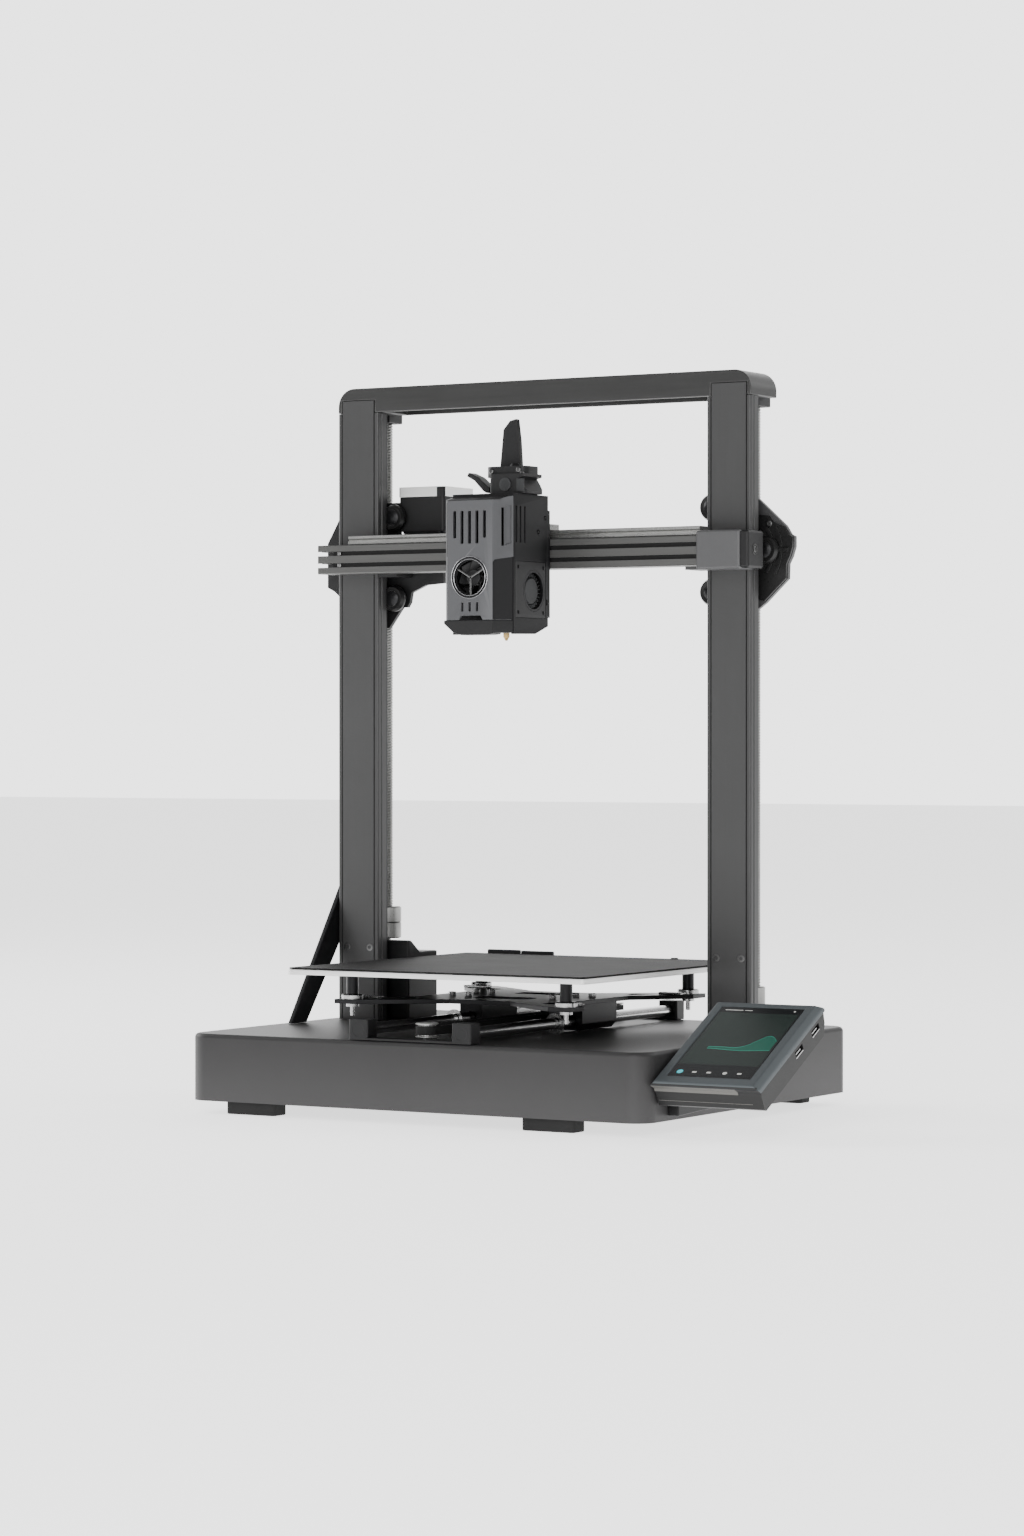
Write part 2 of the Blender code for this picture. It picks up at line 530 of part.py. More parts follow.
def build_gantry():
    front, rear, low, high = BEAM_FRONT, BEAM_REAR, BEAM_BOTTOM, BEAM_TOP
    section = [(front, low), (front, low + 4.6), (front + 4, low + 4.6), (front + 4, low + 7.6),
               (front, low + 7.6), (front, low + 12.9), (front + 4, low + 12.9), (front + 4, low + 15.9),
               (front, low + 15.9), (front, high), (rear, high), (rear, high - 7), (rear - 5, high - 7),
               (rear - 5, low + 7), (rear, low + 7), (rear, low), (rear - 7, low), (rear - 7, low + 5),
               (front + 7, low + 5), (front + 7, low)]
    prism("x_beam", section, "X", BEAM_LEFT, BEAM_RIGHT, FRAME_GREY)
    rail_low = BEAM_TOP + GAP
    rail = [(154, rail_low), (166, rail_low), (166, 397), (164.8, 398), (166, 399), (166, RAIL_TOP),
            (154, RAIL_TOP), (154, 399), (155.2, 398), (154, 397)]
    prism("x_rail", rail, "X", -148, 136.8, STEEL)
    cover = box("beam_end_cover", (137.2, 147.0, 371.0), (178.0, 170.1, 397.5), COVER_GREY)
    cut(cover, box("beam_pocket", (130, BEAM_FRONT - GAP, BEAM_BOTTOM - GAP),
                   (BEAM_RIGHT + GAP, 175, BEAM_TOP + GAP), collection=cutters))
    for side, sign in (("left", -1), ("right", 1)):
        build_bracket(side, sign)
        places = {"upper": (WHEEL_IN, WHEEL_HIGH), "lower": (WHEEL_IN, WHEEL_LOW),
                  "outer": (WHEEL_OUT, WHEEL_MID)}
        for place, (x, z) in places.items():
            rim = [(0.0, 3.5), (7.4, 3.5), (8.2, 3.5), (WHEEL_RADIUS, 1.0), (WHEEL_RADIUS, -1.0), (8.2, -3.5),
                   (0.0, -3.5)]
            turned("wheel_%s_%s" % (side, place), (sign * x, WHEEL_Y, z), rim, "Y", RUBBER, 18)
    x, y = X_MOTOR
    half = STEPPER / 2
    box("x_motor", (x - half, y - half, 403.6), (x + half, y + half, 436.8), BLACK_METAL, upright=3, steps=1)
    pulley("x_drive_pulley", *X_MOTOR, 384.0, 384.0, 403.3)
    pulley("x_idler_pulley", *X_IDLER, 384.5, 384.0, 395.0)
    build_belt("x_belt", X_MOTOR[0], X_IDLER[0], 386.2, "X", X_MOTOR[1])


def build_head_carriage():
    prism("rail_block", [(150.6, 396.2), (153.6, 396.2), (153.6, RAIL_TOP + GAP), (166.4, RAIL_TOP + GAP),
                         (166.4, 396.2), (169.4, 396.2), (169.4, BLOCK_TOP), (150.6, BLOCK_TOP)],
          "X", -20, 17.5, STEEL)
    plate = box("carriage_plate", (-24, 145.1, 340), (22, 148.9, 414), ALUMINIUM)
    roof = BLOCK_TOP + GAP
    drop = [(-7, 386), (21, 386), (21, 393), (1.5, 393), (1.5, roof + 2), (-7, roof + 2)]
    join(plate, box("carriage_roof", (-20, 147, roof), (2, 174.5, roof + 3), collection=cutters),
         prism("carriage_drop", drop, "Y", 171, 174.2, collection=cutters),
         box("carriage_arm", (11.5, 172, 386.5), (20.5, X_MOTOR[1] - BELT_OUTER - GAP, 392.5),
             collection=cutters))


def build_head_covers():
    low, high = COVER_LOW, COVER_HIGH
    plan = [(HEAD_LEFT, SHELL_FRONT - GAP), (HEAD_LEFT, 90.0), (-22.5, HEAD_FRONT), (13.5, HEAD_FRONT),
            (HEAD_RIGHT, SHELL_FRONT - GAP)]
    cover = prism("front_cover", plan, "Z", low, high + 3, COVER_GREY)
    inside = [(HEAD_LEFT + 2, 110.0), (HEAD_LEFT + 2, 91.0), (-21.5, HEAD_FRONT + 2), (12.5, HEAD_FRONT + 2),
              (HEAD_RIGHT - 2.5, SHELL_FRONT), (HEAD_RIGHT - 2.5, 110.0)]
    x, z = FAN_CENTRE
    cut(cover, prism("cover_hollow", inside, "Z", low + 2, high + 1, collection=cutters),
        cylinder("fan_opening", (x, HEAD_FRONT, z), 13.2, 12, "Y", sides=24, collection=cutters),
        prism("cover_top_slope", [(80.0, high), (HEAD_FRONT, high), (SHELL_FRONT, high + 3.2),
                                  (SHELL_FRONT, 430.0), (80.0, 430.0)], "X", -30, 30, collection=cutters),
        prism("cover_chin_left", [(-30.0, low + 8.0), (HEAD_LEFT, low + 8.0), (-18.0, low + 1.6),
                                  (-10.0, low - 1.0), (-30.0, low - 1.0)], "Y", 80, 100, collection=cutters),
        prism("cover_chin_right", [(30.0, low + 1.4), (HEAD_RIGHT, low + 1.4), (14.0, low + 0.6),
                                   (9.0, low - 1.0), (30.0, low - 1.0)], "Y", 80, 100, collection=cutters))
    side_profile = [(SHELL_FRONT, 327.8), (127.5, 328.4), (SHELL_REAR, 334.0), (SHELL_REAR, 424.0),
                    (SHELL_FRONT, 424.0)]
    shell = prism("side_shell", side_profile, "X", HEAD_LEFT + 0.3, HEAD_RIGHT, BLACK)
    y, z = BLOWER_CENTRE
    cut(shell, box("shell_hollow", (HEAD_LEFT + 2.3, 90, 320), (HEAD_RIGHT - 2, SHELL_REAR - 2, 421.5),
                   collection=cutters),
        cylinder("blower_opening", (HEAD_RIGHT, y, z), 13.0, 10, "X", sides=24, collection=cutters))


def build_head_works():
    hotend = box("hotend", (-9, 116, 352), (9, 138, 378), ALUMINIUM)
    join(hotend, cylinder("heat_break", (0, NOZZLE_Y, 348), 3.0, 12, sides=10, collection=cutters),
         box("heater_block", (-8, 117, 334), (8, 137, 345), collection=cutters),
         cylinder("nozzle_hex", (0, NOZZLE_Y, 332), 4.0, 6, sides=6, collection=cutters))
    shape = bmesh.new()
    bmesh.ops.create_cone(shape, cap_ends=True, segments=12, radius1=0.8, radius2=3.2, depth=6)
    tip = to_mesh("nozzle_tip", shape)
    join(hotend, add("nozzle_tip", tip, None, (0, NOZZLE_Y, NOZZLE_TIP + 3), cutters))
    x, z = FAN_CENTRE
    cylinder("front_fan", (x, 93.5, z), 12.6, 5.0, "Y", BLACK, 20)
    y, z = BLOWER_CENTRE
    cylinder("side_blower", (17.6, y, z), 12.4, 6.4, "X", BLACK, 20)
    body = box("extruder_body", (-3.5, 109, 424.3), (26, 134, 438), BLACK, upright=3, steps=2)
    join(body, box("extruder_top_plate", (-8, 112, EXTRUDER_PLATE), (24.5, 132, EXTRUDER_TOP), upright=5,
                   steps=3, collection=cutters),
         box("extruder_neck", (-2, 130, 424.6), (8, 149.7, 432), collection=cutters))
    cut(body, prism("extruder_shoulder", [(26.5, 425.5), (20.5, 435.0), (24.6, 436.0), (24.6, 439.0),
                                          (28.0, 439.0), (28.0, 425.5)], "Y", 100, 140, collection=cutters))
    cylinder("extruder_motor", (-10, 159, 422), 11.5, 18, "Y", BLACK_METAL, 24)
    fin = [(-5.2, EXTRUDER_TOP + GAP), (11.4, EXTRUDER_TOP + GAP), (10.2, 462.0), (8.4, 476.2), (7.6, 476.8),
           (2.6, 475.6), (-2.6, 469.8)]
    prism("cable_support", fin, "Y", 127, 131, BLACK)
    lever = [(-5.0, 426.0), (-5.0, 429.0), (-7.5, 431.0), (-14.0, 436.6), (-21.5, 439.9), (-23.0, 437.4),
             (-17.0, 434.2), (-10.0, 427.0), (-7.5, 425.4)]
    prism("release_lever", lever, "Y", 112, 122, BLACK, centre=LEVER_PIVOT)


def screen_solid(name, outline, left, right, material, collection=parts):
    """A solid in the tilted screen's own frame. The outline is (along the slope, above the bezel)."""
    piece = prism(name, outline, "X", left, right, material, collection)
    piece.location = world(*SCREEN_CORNER)
    piece.rotation_euler = (SCREEN_TILT, 0.0, 0.0)
    return piece


def build_screen():
    """The screen's outlines are measured from its own front left corner."""
    length, width, side = SCREEN_LENGTH, SCREEN_WIDTH, SCREEN_CHAMFER
    bezel = [(3.0, -BEZEL_THICK), (0.0, -side), (0.0, -1.0), (1.0, 0.0), (length - 4.0, 0.0),
             (length + 1.0, -5.0), (length + 1.0, -BEZEL_THICK)]
    frame = screen_solid("screen_bezel", bezel, -side, width + side, SCREEN_GREY)
    for name, inner, outer in (("left", 0.0, -side - 1.0), ("right", width, width + side + 1.0)):
        slope = abs(outer - inner)
        corner = prism("bezel_chamfer_" + name, [(inner, 0.0), (outer, -slope), (outer, 1.0), (inner, 1.0)],
                       "Y", -5.0, length + 5.0, collection=cutters)
        corner.location = world(*SCREEN_CORNER)
        corner.rotation_euler = (SCREEN_TILT, 0.0, 0.0)
        cut(frame, corner)
    recess = [(8.0, -2.2), (length - 8.5, -2.2), (length - 8.5, 2.0), (8.0, 2.0)]
    cut(frame, screen_solid("panel_recess", recess, 5.5, width - 5.5, None, cutters))
    screen_solid("touch_panel", [(8.3, -1.9), (length - 8.8, -1.9), (length - 8.8, -0.4), (8.3, -0.4)],
                 5.8, width - 5.8, GLASS)
    top = -BEZEL_THICK - GAP
    low = -BEZEL_THICK - BODY_THICK
    body = [(3.0, top), (length, top), (length - 1.5, low + 7.0), (length - 7.0, low), (5.0, low),
            (3.0, low + 2.0)]
    screen_solid("screen_shell", body, 1.0 - side, width + side - 1.0, BLACK)
    bracket = [(30, 12), (84, 14), (84, 42), (60, 34), (30, 20)]
    prism("screen_bracket", bracket, "X", BASE_HALF_WIDTH + GAP, SCREEN_CORNER.x + 4.0, BLACK)


build_base()
build_electrics()
build_bed_drive()
build_bed()
build_frame()
build_lift_drive()
build_gantry()
build_head_carriage()
build_head_covers()
build_head_works()
build_screen()
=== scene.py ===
import json
import math

import bmesh
import bpy
from mathutils import Matrix, Vector


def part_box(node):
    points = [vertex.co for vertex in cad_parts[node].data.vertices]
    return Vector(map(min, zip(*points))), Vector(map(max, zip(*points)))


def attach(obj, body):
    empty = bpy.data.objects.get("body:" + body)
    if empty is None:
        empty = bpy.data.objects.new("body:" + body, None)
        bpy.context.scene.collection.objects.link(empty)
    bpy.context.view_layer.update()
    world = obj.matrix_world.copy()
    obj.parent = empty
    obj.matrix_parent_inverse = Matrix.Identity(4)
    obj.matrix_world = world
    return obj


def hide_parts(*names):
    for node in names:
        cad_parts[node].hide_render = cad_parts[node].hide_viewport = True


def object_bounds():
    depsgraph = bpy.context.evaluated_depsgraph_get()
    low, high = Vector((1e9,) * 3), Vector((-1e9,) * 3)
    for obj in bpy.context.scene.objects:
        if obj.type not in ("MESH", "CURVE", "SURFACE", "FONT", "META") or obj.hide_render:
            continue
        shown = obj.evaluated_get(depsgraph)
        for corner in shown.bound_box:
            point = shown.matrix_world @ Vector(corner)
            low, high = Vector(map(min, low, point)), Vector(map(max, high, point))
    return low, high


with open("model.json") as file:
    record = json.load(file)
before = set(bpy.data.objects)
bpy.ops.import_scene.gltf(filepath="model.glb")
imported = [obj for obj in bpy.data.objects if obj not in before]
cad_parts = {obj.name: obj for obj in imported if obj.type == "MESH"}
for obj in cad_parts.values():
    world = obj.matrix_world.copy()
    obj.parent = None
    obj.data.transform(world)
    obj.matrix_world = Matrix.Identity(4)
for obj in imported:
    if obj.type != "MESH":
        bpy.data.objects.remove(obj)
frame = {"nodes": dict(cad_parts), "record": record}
cad_low, cad_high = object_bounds()

MM = 0.001
# Everything below is in millimetres in the machine's own frame: X = 0 is the middle of the base,
# Y = 0 its front face, Z = 0 the surface that it stands on.
base_low, base_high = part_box("base_shell")
ORIGIN = Vector(((base_low.x + base_high.x) / 2, base_low.y, 0.0))
BODY_OF = {node: body for body, held in frame["record"]["behaviour"]["bodies"].items() for node in held}
VIEW_TURN = math.radians(30.9705)  # the camera's direction, seen from above
BACKDROP = 3.0  # brightness of the lit wall behind the machine
SURROUND = 0.32  # brightness of the rest of the studio
FLOOR_GLOW = 1.8  # light coming through the white floor
DEPTH = 0.02  # how far thin marks stand off the face that they lie on
FINE_SHARE = 0.4  # weight of the fine grain in a finish's colour
METAL_GLOSS = 0.5  # specular level of bare metal
SHARP_ANGLE = math.radians(38)  # edges sharper than this stay sharp in the shading


def spot(node):
    """Lowest and highest corner of a CAD node, in the machine's frame."""
    low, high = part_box(node)
    return (low - ORIGIN) / MM, (high - ORIGIN) / MM


def middle(node):
    low, high = spot(node)
    return (low + high) / 2


# ---------------------------------------------------------------- materials

def add(tree, kind, **values):
    """A new shader node with its inputs set by name."""
    node = tree.nodes.new("ShaderNode" + kind)
    for name, value in values.items():
        node.inputs[name.replace("_", " ")].default_value = value
    return node


def wire(tree, source, output, target, socket):
    tree.links.new(source.outputs[output], target.inputs[socket])


def surface(name, colour, roughness, metallic=0.0, grain=900.0, relief=0.02, tone=0.12, spread=0.08,
        stretch=(1.0, 1.0, 1.0), edge_highlight=0.0, patch=14.0, gloss=0.28):
    """A procedural finish: fine grain in relief and roughness, broad colour variation, convex edges painted
    lighter as a highlight.
    """
    material = bpy.data.materials.new(name)
    material.use_nodes = True
    tree = material.node_tree
    shader = tree.nodes["Principled BSDF"]
    place = add(tree, "TexCoord")
    turn = add(tree, "Mapping", Scale=stretch)
    wire(tree, place, "Object", turn, "Vector")
    fine = add(tree, "TexNoise", Scale=grain, Detail=3.0)
    wire(tree, turn, "Vector", fine, "Vector")
    broad = add(tree, "TexNoise", Scale=patch, Detail=4.0)
    wire(tree, place, "Object", broad, "Vector")
    blend = add(tree, "Math")
    blend.operation = "MULTIPLY_ADD"
    blend.inputs[1].default_value = FINE_SHARE
    wire(tree, fine, "Fac", blend, 0)
    wire(tree, broad, "Fac", blend, 2)
    ramp = add(tree, "ValToRGB")
    low, high = ramp.color_ramp.elements
    low.position, high.position = 0.45, 0.95
    low.color = (*(c * (1 - tone) for c in colour), 1.0)
    high.color = (*(min(1.0, c * (1 + tone)) for c in colour), 1.0)
    wire(tree, blend, 0, ramp, "Fac")
    tint = ramp, "Color"
    # Convex edges are painted lighter here as a highlight; the mix colour is about twice the base colour.
    if edge_highlight:
        shape = add(tree, "NewGeometry")
        edge = add(tree, "MapRange", From_Min=0.53, From_Max=0.62, To_Max=edge_highlight)
        wire(tree, shape, "Pointiness", edge, "Value")
        mix = add(tree, "MixRGB", Color2=(*(min(1.0, c * 2.2 + 0.03) for c in colour), 1.0))
        wire(tree, edge, "Result", mix, "Fac")
        wire(tree, *tint, mix, "Color1")
        tint = mix, "Color"
    wire(tree, *tint, shader, "Base Color")
    rough = add(tree, "MapRange", To_Min=max(0.02, roughness - spread), To_Max=min(1.0, roughness + spread))
    wire(tree, fine, "Fac", rough, "Value")
    wire(tree, rough, "Result", shader, "Roughness")
    bump = add(tree, "Bump", Strength=0.6, Distance=relief * MM)
    wire(tree, fine, "Fac", bump, "Height")
    wire(tree, bump, "Normal", shader, "Normal")
    shader.inputs["Metallic"].default_value = metallic
    shader.inputs["Specular IOR Level"].default_value = METAL_GLOSS if metallic > 0.5 else gloss
    return material


def glowing(name, colour, strength):
    """A lit area of the display, with the faint unevenness of a backlight."""
    material = surface(name, colour, 0.25, grain=2500.0, relief=0.0, tone=0.1, spread=0.02, patch=90.0)
    shader = material.node_tree.nodes["Principled BSDF"]
    shader.inputs["Emission Color"].default_value = (*colour, 1.0)
    shader.inputs["Emission Strength"].default_value = strength
    return material


# The edge value given to a finish sets how much its convex edges are painted lighter, as a highlight.
BASE_COAT = surface("base_coat", (0.037, 0.0362, 0.0367), 0.46, 0.1, 1400.0, 0.02, 0.10, 0.07, edge_highlight=0.5,
    gloss=0.2)
FRAME_COAT = surface("frame_anodised", (0.040, 0.040, 0.0402), 0.38, 0.4, 700.0, 0.008, 0.10, 0.08,
    stretch=(1.0, 1.0, 0.03), edge_highlight=0.3)
BEAM_COAT = surface("beam_anodised", (0.07, 0.07, 0.068), 0.36, 0.5, 700.0, 0.008, 0.10, 0.08,
    stretch=(0.03, 1.0, 1.0), edge_highlight=0.3)
TOP_COAT = surface("top_beam_anodised", (0.048, 0.048, 0.0475), 0.38, 0.5, 700.0, 0.008, 0.10, 0.08,
    stretch=(0.03, 1.0, 1.0), edge_highlight=0.3)
BLACK_PLASTIC = surface("black_plastic", (0.009, 0.009, 0.0095), 0.45, 0.0, 1100.0, 0.03, 0.25, 0.1, edge_highlight=0.2)
SHELL_PLASTIC = surface("shell_plastic", (0.006, 0.006, 0.0065), 0.5, 0.0, 1100.0, 0.03, 0.2, 0.1,
    edge_highlight=0.25, gloss=0.14)
GREY_PLASTIC = surface("grey_plastic", (0.024, 0.025, 0.026), 0.5, 0.0, 1100.0, 0.03, 0.2, 0.1, edge_highlight=0.2)
BRACKET_GREY = surface("bracket_grey", (0.055, 0.055, 0.056), 0.45, 0.0, 1100.0, 0.03, 0.15, 0.1, edge_highlight=0.3)
BLACK_METAL = surface("black_metal", (0.010, 0.010, 0.011), 0.34, 0.4, 900.0, 0.012, 0.25, 0.1, edge_highlight=0.4)
COVER_GREY = surface("cover_grey", (0.077, 0.078, 0.082), 0.38, 0.1, 1500.0, 0.015, 0.06, 0.06, edge_highlight=0.3)
COVER_DARK = surface("cover_dark", (0.08, 0.08, 0.082), 0.4, 0.1, 1500.0, 0.015, 0.08, 0.06, edge_highlight=0.3)
SCREEN_GREY = surface("screen_grey", (0.082, 0.093, 0.099), 0.5, 0.1, 1300.0, 0.015, 0.07, 0.06, edge_highlight=0.3,
    gloss=0.14)
SCREEN_DARK = surface("screen_dark", (0.008, 0.008, 0.008), 0.45, 0.0, 1100.0, 0.02, 0.15, 0.08, edge_highlight=0.3)
# Light grey painted on the screen's front chamfer band as a highlight.
SCREEN_BAND_HIGHLIGHT = surface("screen_band_highlight", (0.12, 0.117, 0.11), 0.4, 0.2, 1100.0, 0.015, 0.08, 0.06)
STEEL = surface("ground_steel", (0.62, 0.62, 0.62), 0.2, 1.0, 1600.0, 0.004, 0.08, 0.06,
    stretch=(1.0, 0.05, 1.0))
RAIL_STEEL = surface("rail_steel", (0.42, 0.42, 0.41), 0.28, 0.9, 1600.0, 0.004, 0.1, 0.06,
    stretch=(0.04, 1.0, 1.0))
SCREW_STEEL = surface("screw_steel", (0.4, 0.4, 0.4), 0.26, 1.0, 1200.0, 0.004, 0.2, 0.08)
THREAD_STEEL = surface("thread_steel", (0.2, 0.2, 0.195), 0.3, 1.0, 1200.0, 0.004, 0.25, 0.08, edge_highlight=0.9)
GREY_STEEL = surface("grey_steel", (0.14, 0.14, 0.14), 0.3, 1.0, 1200.0, 0.004, 0.2, 0.08)
CHROME = surface("chrome", (0.30, 0.30, 0.31), 0.22, 1.0, 2200.0, 0.0, 0.04, 0.03)
ALUMINIUM = surface("aluminium", (0.62, 0.62, 0.61), 0.34, 0.9, 1400.0, 0.008, 0.07, 0.08,
    stretch=(0.1, 1.0, 1.0))
BED_EDGE = surface("bed_edge", (0.86, 0.86, 0.85), 0.4, 0.5, 1400.0, 0.006, 0.06, 0.06)
RUBBER = surface("rubber", (0.016, 0.016, 0.016), 0.75, 0.0, 800.0, 0.05, 0.3, 0.1)
WHEEL_BLACK = surface("wheel_black", (0.012, 0.012, 0.012), 0.3, 0.0, 900.0, 0.01, 0.3, 0.08)
SHEET = surface("print_sheet", (0.014, 0.014, 0.014), 0.62, 0.0, 2600.0, 0.05, 0.4, 0.14, patch=30.0,
    gloss=0.06)
BOARD = surface("circuit_board", (0.02, 0.085, 0.035), 0.4, 0.1, 260.0, 0.05, 0.5, 0.1)
COPPER = surface("brass", (0.36, 0.25, 0.11), 0.3, 1.0, 1200.0, 0.01, 0.12, 0.08)
GLASS = surface("display_glass", (0.006, 0.007, 0.007), 0.3, 0.0, 2400.0, 0.001, 0.25, 0.03)
DISPLAY = glowing("display_field", (0.014, 0.022, 0.019), 0.15)
DISPLAY_BAR = glowing("display_bar", (0.004, 0.005, 0.006), 0.1)
TEAL = glowing("display_teal", (0.006, 0.075, 0.05), 0.3)
TEAL_LINE = glowing("display_line", (0.02, 0.2, 0.14), 0.3)
CYAN = glowing("display_cyan", (0.05, 0.48, 0.55), 0.5)
ICON = glowing("display_icon", (0.5, 0.5, 0.48), 0.3)
# A near-black fill put into grooves and slots as painted shade, the shade that falls inside them.
PAINTED_SHADE = surface("recess_painted_shade", (0.006, 0.006, 0.006), 0.7, 0.0, 500.0, 0.02, 0.4, 0.1)


# ---------------------------------------------------------------- mesh tools

TURN = {"X": Matrix.Rotation(math.pi / 2, 4, "Y"), "Y": Matrix.Rotation(-math.pi / 2, 4, "X"),
    "Z": Matrix.Identity(4)}


def merge(shape, other):
    """Add one bmesh's geometry to another."""
    mesh = bpy.data.meshes.new("merge")
    other.to_mesh(mesh)
    other.free()
    shape.from_mesh(mesh)
    bpy.data.meshes.remove(mesh)


def block(shape, low, high, rounding=0.0, steps=2):
    low, high = Vector(low), Vector(high)
    part = bmesh.new()
    place = Matrix.Translation((low + high) / 2) @ Matrix.Diagonal((*(high - low), 1.0))
    bmesh.ops.create_cube(part, size=1.0, matrix=place)
    if rounding:
        bmesh.ops.bevel(part, geom=part.edges[:], offset=rounding, segments=steps, profile=0.5,
            affect="EDGES")
    merge(shape, part)


def rod(shape, centre, radius, length, axis="Z", sides=32, rounding=0.0, top=None):
    part = bmesh.new()
    bmesh.ops.create_cone(part, cap_ends=True, segments=sides, radius1=radius,
        radius2=radius if top is None else top, depth=length)
    if rounding:
        rims = [e for e in part.edges if abs((e.verts[0].co - e.verts[1].co).z) < 1e-5]
        bmesh.ops.bevel(part, geom=rims, offset=rounding, segments=2, profile=0.5, affect="EDGES")
    part.transform(Matrix.Translation(centre) @ TURN[axis])
    merge(shape, part)


def lathe(shape, centre, profile, axis="Z", sides=48):
    """A ring or disc turned from a closed profile of (radius, height) pairs."""
    part = bmesh.new()
    rings = []
    for i in range(sides):
        angle = 2 * math.pi * i / sides
        rings.append([part.verts.new((r * math.cos(angle), r * math.sin(angle), h)) for r, h in profile])
    count = len(profile)
    for i, ring in enumerate(rings):
        after = rings[(i + 1) % sides]
        for j in range(count):
            k = (j + 1) % count
            if profile[j][0] or profile[k][0]:
                part.faces.new((ring[j], after[j], after[k], ring[k]))
    bmesh.ops.remove_doubles(part, verts=part.verts, dist=0.0001)
    bmesh.ops.recalc_face_normals(part, faces=part.faces)
    part.transform(Matrix.Translation(centre) @ TURN[axis])
    merge(shape, part)


def prism(shape, outline, axis, start, end):
    """A flat outline drawn in the other two axes, in X, Y, Z order, and extruded along an axis."""
    def point(a, b, c):
        return {"X": (c, a, b), "Y": (a, c, b), "Z": (a, b, c)}[axis]
    part = bmesh.new()
    near = [part.verts.new(point(a, b, start)) for a, b in outline]
    far = [part.verts.new(point(a, b, end)) for a, b in outline]
    part.faces.new(near)
    part.faces.new(far[::-1])
    for i in range(len(outline)):
        j = (i + 1) % len(outline)
        part.faces.new((near[j], near[i], far[i], far[j]))
    bmesh.ops.recalc_face_normals(part, faces=part.faces)
    merge(shape, part)


def arc(x, y, radius, start, end, steps):
    angles = [math.radians(start + (end - start) * i / steps) for i in range(steps + 1)]
    return [(x + radius * math.cos(a), y + radius * math.sin(a)) for a in angles]


def rounded(low, high, radius, steps=6):
    """A rectangle with round corners, counter-clockwise."""
    (x0, y0), (x1, y1) = low, high
    return (arc(x1 - radius, y0 + radius, radius, -90, 0, steps)
        + arc(x1 - radius, y1 - radius, radius, 0, 90, steps)
        + arc(x0 + radius, y1 - radius, radius, 90, 180, steps)
        + arc(x0 + radius, y0 + radius, radius, 180, 270, steps))


def linked(name, shape, place=None):
    """An object at the origin whose mesh holds the shape in metres."""
    if place is not None:
        shape.transform(place)
    shape.transform(Matrix.Translation(ORIGIN) @ Matrix.Scale(MM, 4))
    mesh = bpy.data.meshes.new(name)
    shape.to_mesh(mesh)
    shape.free()
    obj = bpy.data.objects.new(name, mesh)
    bpy.context.scene.collection.objects.link(obj)
    return obj


def settle(obj):
    """Replace an object's mesh by the result of its modifiers."""
    bpy.context.view_layer.update()
    shaped = obj.evaluated_get(bpy.context.evaluated_depsgraph_get())
    mesh = bpy.data.meshes.new_from_object(shaped)
    obj.modifiers.clear()
    obj.data = mesh
    mesh.name = obj.name


def carve(obj, tool):
    """Cut a bmesh in millimetres out of an object."""
    cutter = linked(obj.name + "_tool", tool)
    step = obj.modifiers.new("Carve", "BOOLEAN")
    step.operation = "DIFFERENCE"
    step.use_self = True
    step.object = cutter
    settle(obj)
    bpy.data.objects.remove(cutter)


def soften(obj, width, segments=2, angle=35.0):
    """Round the sharp edges."""
    if width:
        step = obj.modifiers.new("Edges", "BEVEL")
        step.width = width * MM
        step.segments = segments
        step.limit_method = "ANGLE"
        step.angle_limit = math.radians(angle)
        settle(obj)
    obj.data.shade_smooth()
    obj.data.set_sharp_from_angle(angle=SHARP_ANGLE)
    even = obj.modifiers.new("Shading", "WEIGHTED_NORMAL")
    even.keep_sharp = True
    settle(obj)


def finish(obj, material, body, nodes=(), width=0.0, segments=2, angle=35.0):
    soften(obj, width, segments, angle)
    obj.data.materials.clear()
    obj.data.materials.append(material)
    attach(obj, body)
    if nodes:
        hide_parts(*nodes)
    return obj


def piece(name, shape, material, body, nodes=(), width=0.0, segments=2, place=None):
    return finish(linked(name, shape, place), material, body, nodes, width, segments)


def made(name, material, body, slot, *parts, nodes=(), width=0.0, segments=2, place=None):
    """A piece from a list of mesh tools, each with its own values."""
    shape = bmesh.new()
    for tool, *values in parts:
        tool(shape, *values)
    return piece(name, shape, material, body, nodes, width, segments, place)


def copied(node):
    """A clean copy of a CAD node's mesh, with flat areas joined again."""
    shape = bmesh.new()
    shape.from_mesh(frame["nodes"][node].data)
    bmesh.ops.remove_doubles(shape, verts=shape.verts, dist=0.01 * MM)
    bmesh.ops.dissolve_limit(shape, angle_limit=math.radians(1.0), verts=shape.verts, edges=shape.edges)
    mesh = bpy.data.meshes.new(node + "_skin")
    shape.to_mesh(mesh)
    shape.free()
    obj = bpy.data.objects.new(node + "_skin", mesh)
    bpy.context.scene.collection.objects.link(obj)
    return obj


def refine(node, material, width=0.4, segments=2, tool=None):
    """A CAD node with its cuts and rounded edges, in place of the plain solid."""
    obj = copied(node)
    if tool is not None:
        carve(obj, tool)
    return finish(obj, material, BODY_OF[node], (node,), width, segments)


def cap_screw(shape, centre, radius, axis="Z", way=1.0, height=2.0):
    """A socket head cap screw with a round recess in its head, its head towards the axis' way."""
    profile = [(0.0, height * 0.45), (radius * 0.5, height * 0.45), (radius * 0.5, height),
        (radius * 0.88, height), (radius, height * 0.85), (radius, 0.0), (0.0, 0.0)]
    lathe(shape, centre, [(r, h * way) for r, h in profile], axis, 18)


def screws(name, places, radius, axis, way, body, height=2.0, material=SCREW_STEEL):
    shape = bmesh.new()
    for place in places:
        cap_screw(shape, place, radius, axis, way, height)
    piece(name, shape, material, body)


# ---------------------------------------------------------------- base

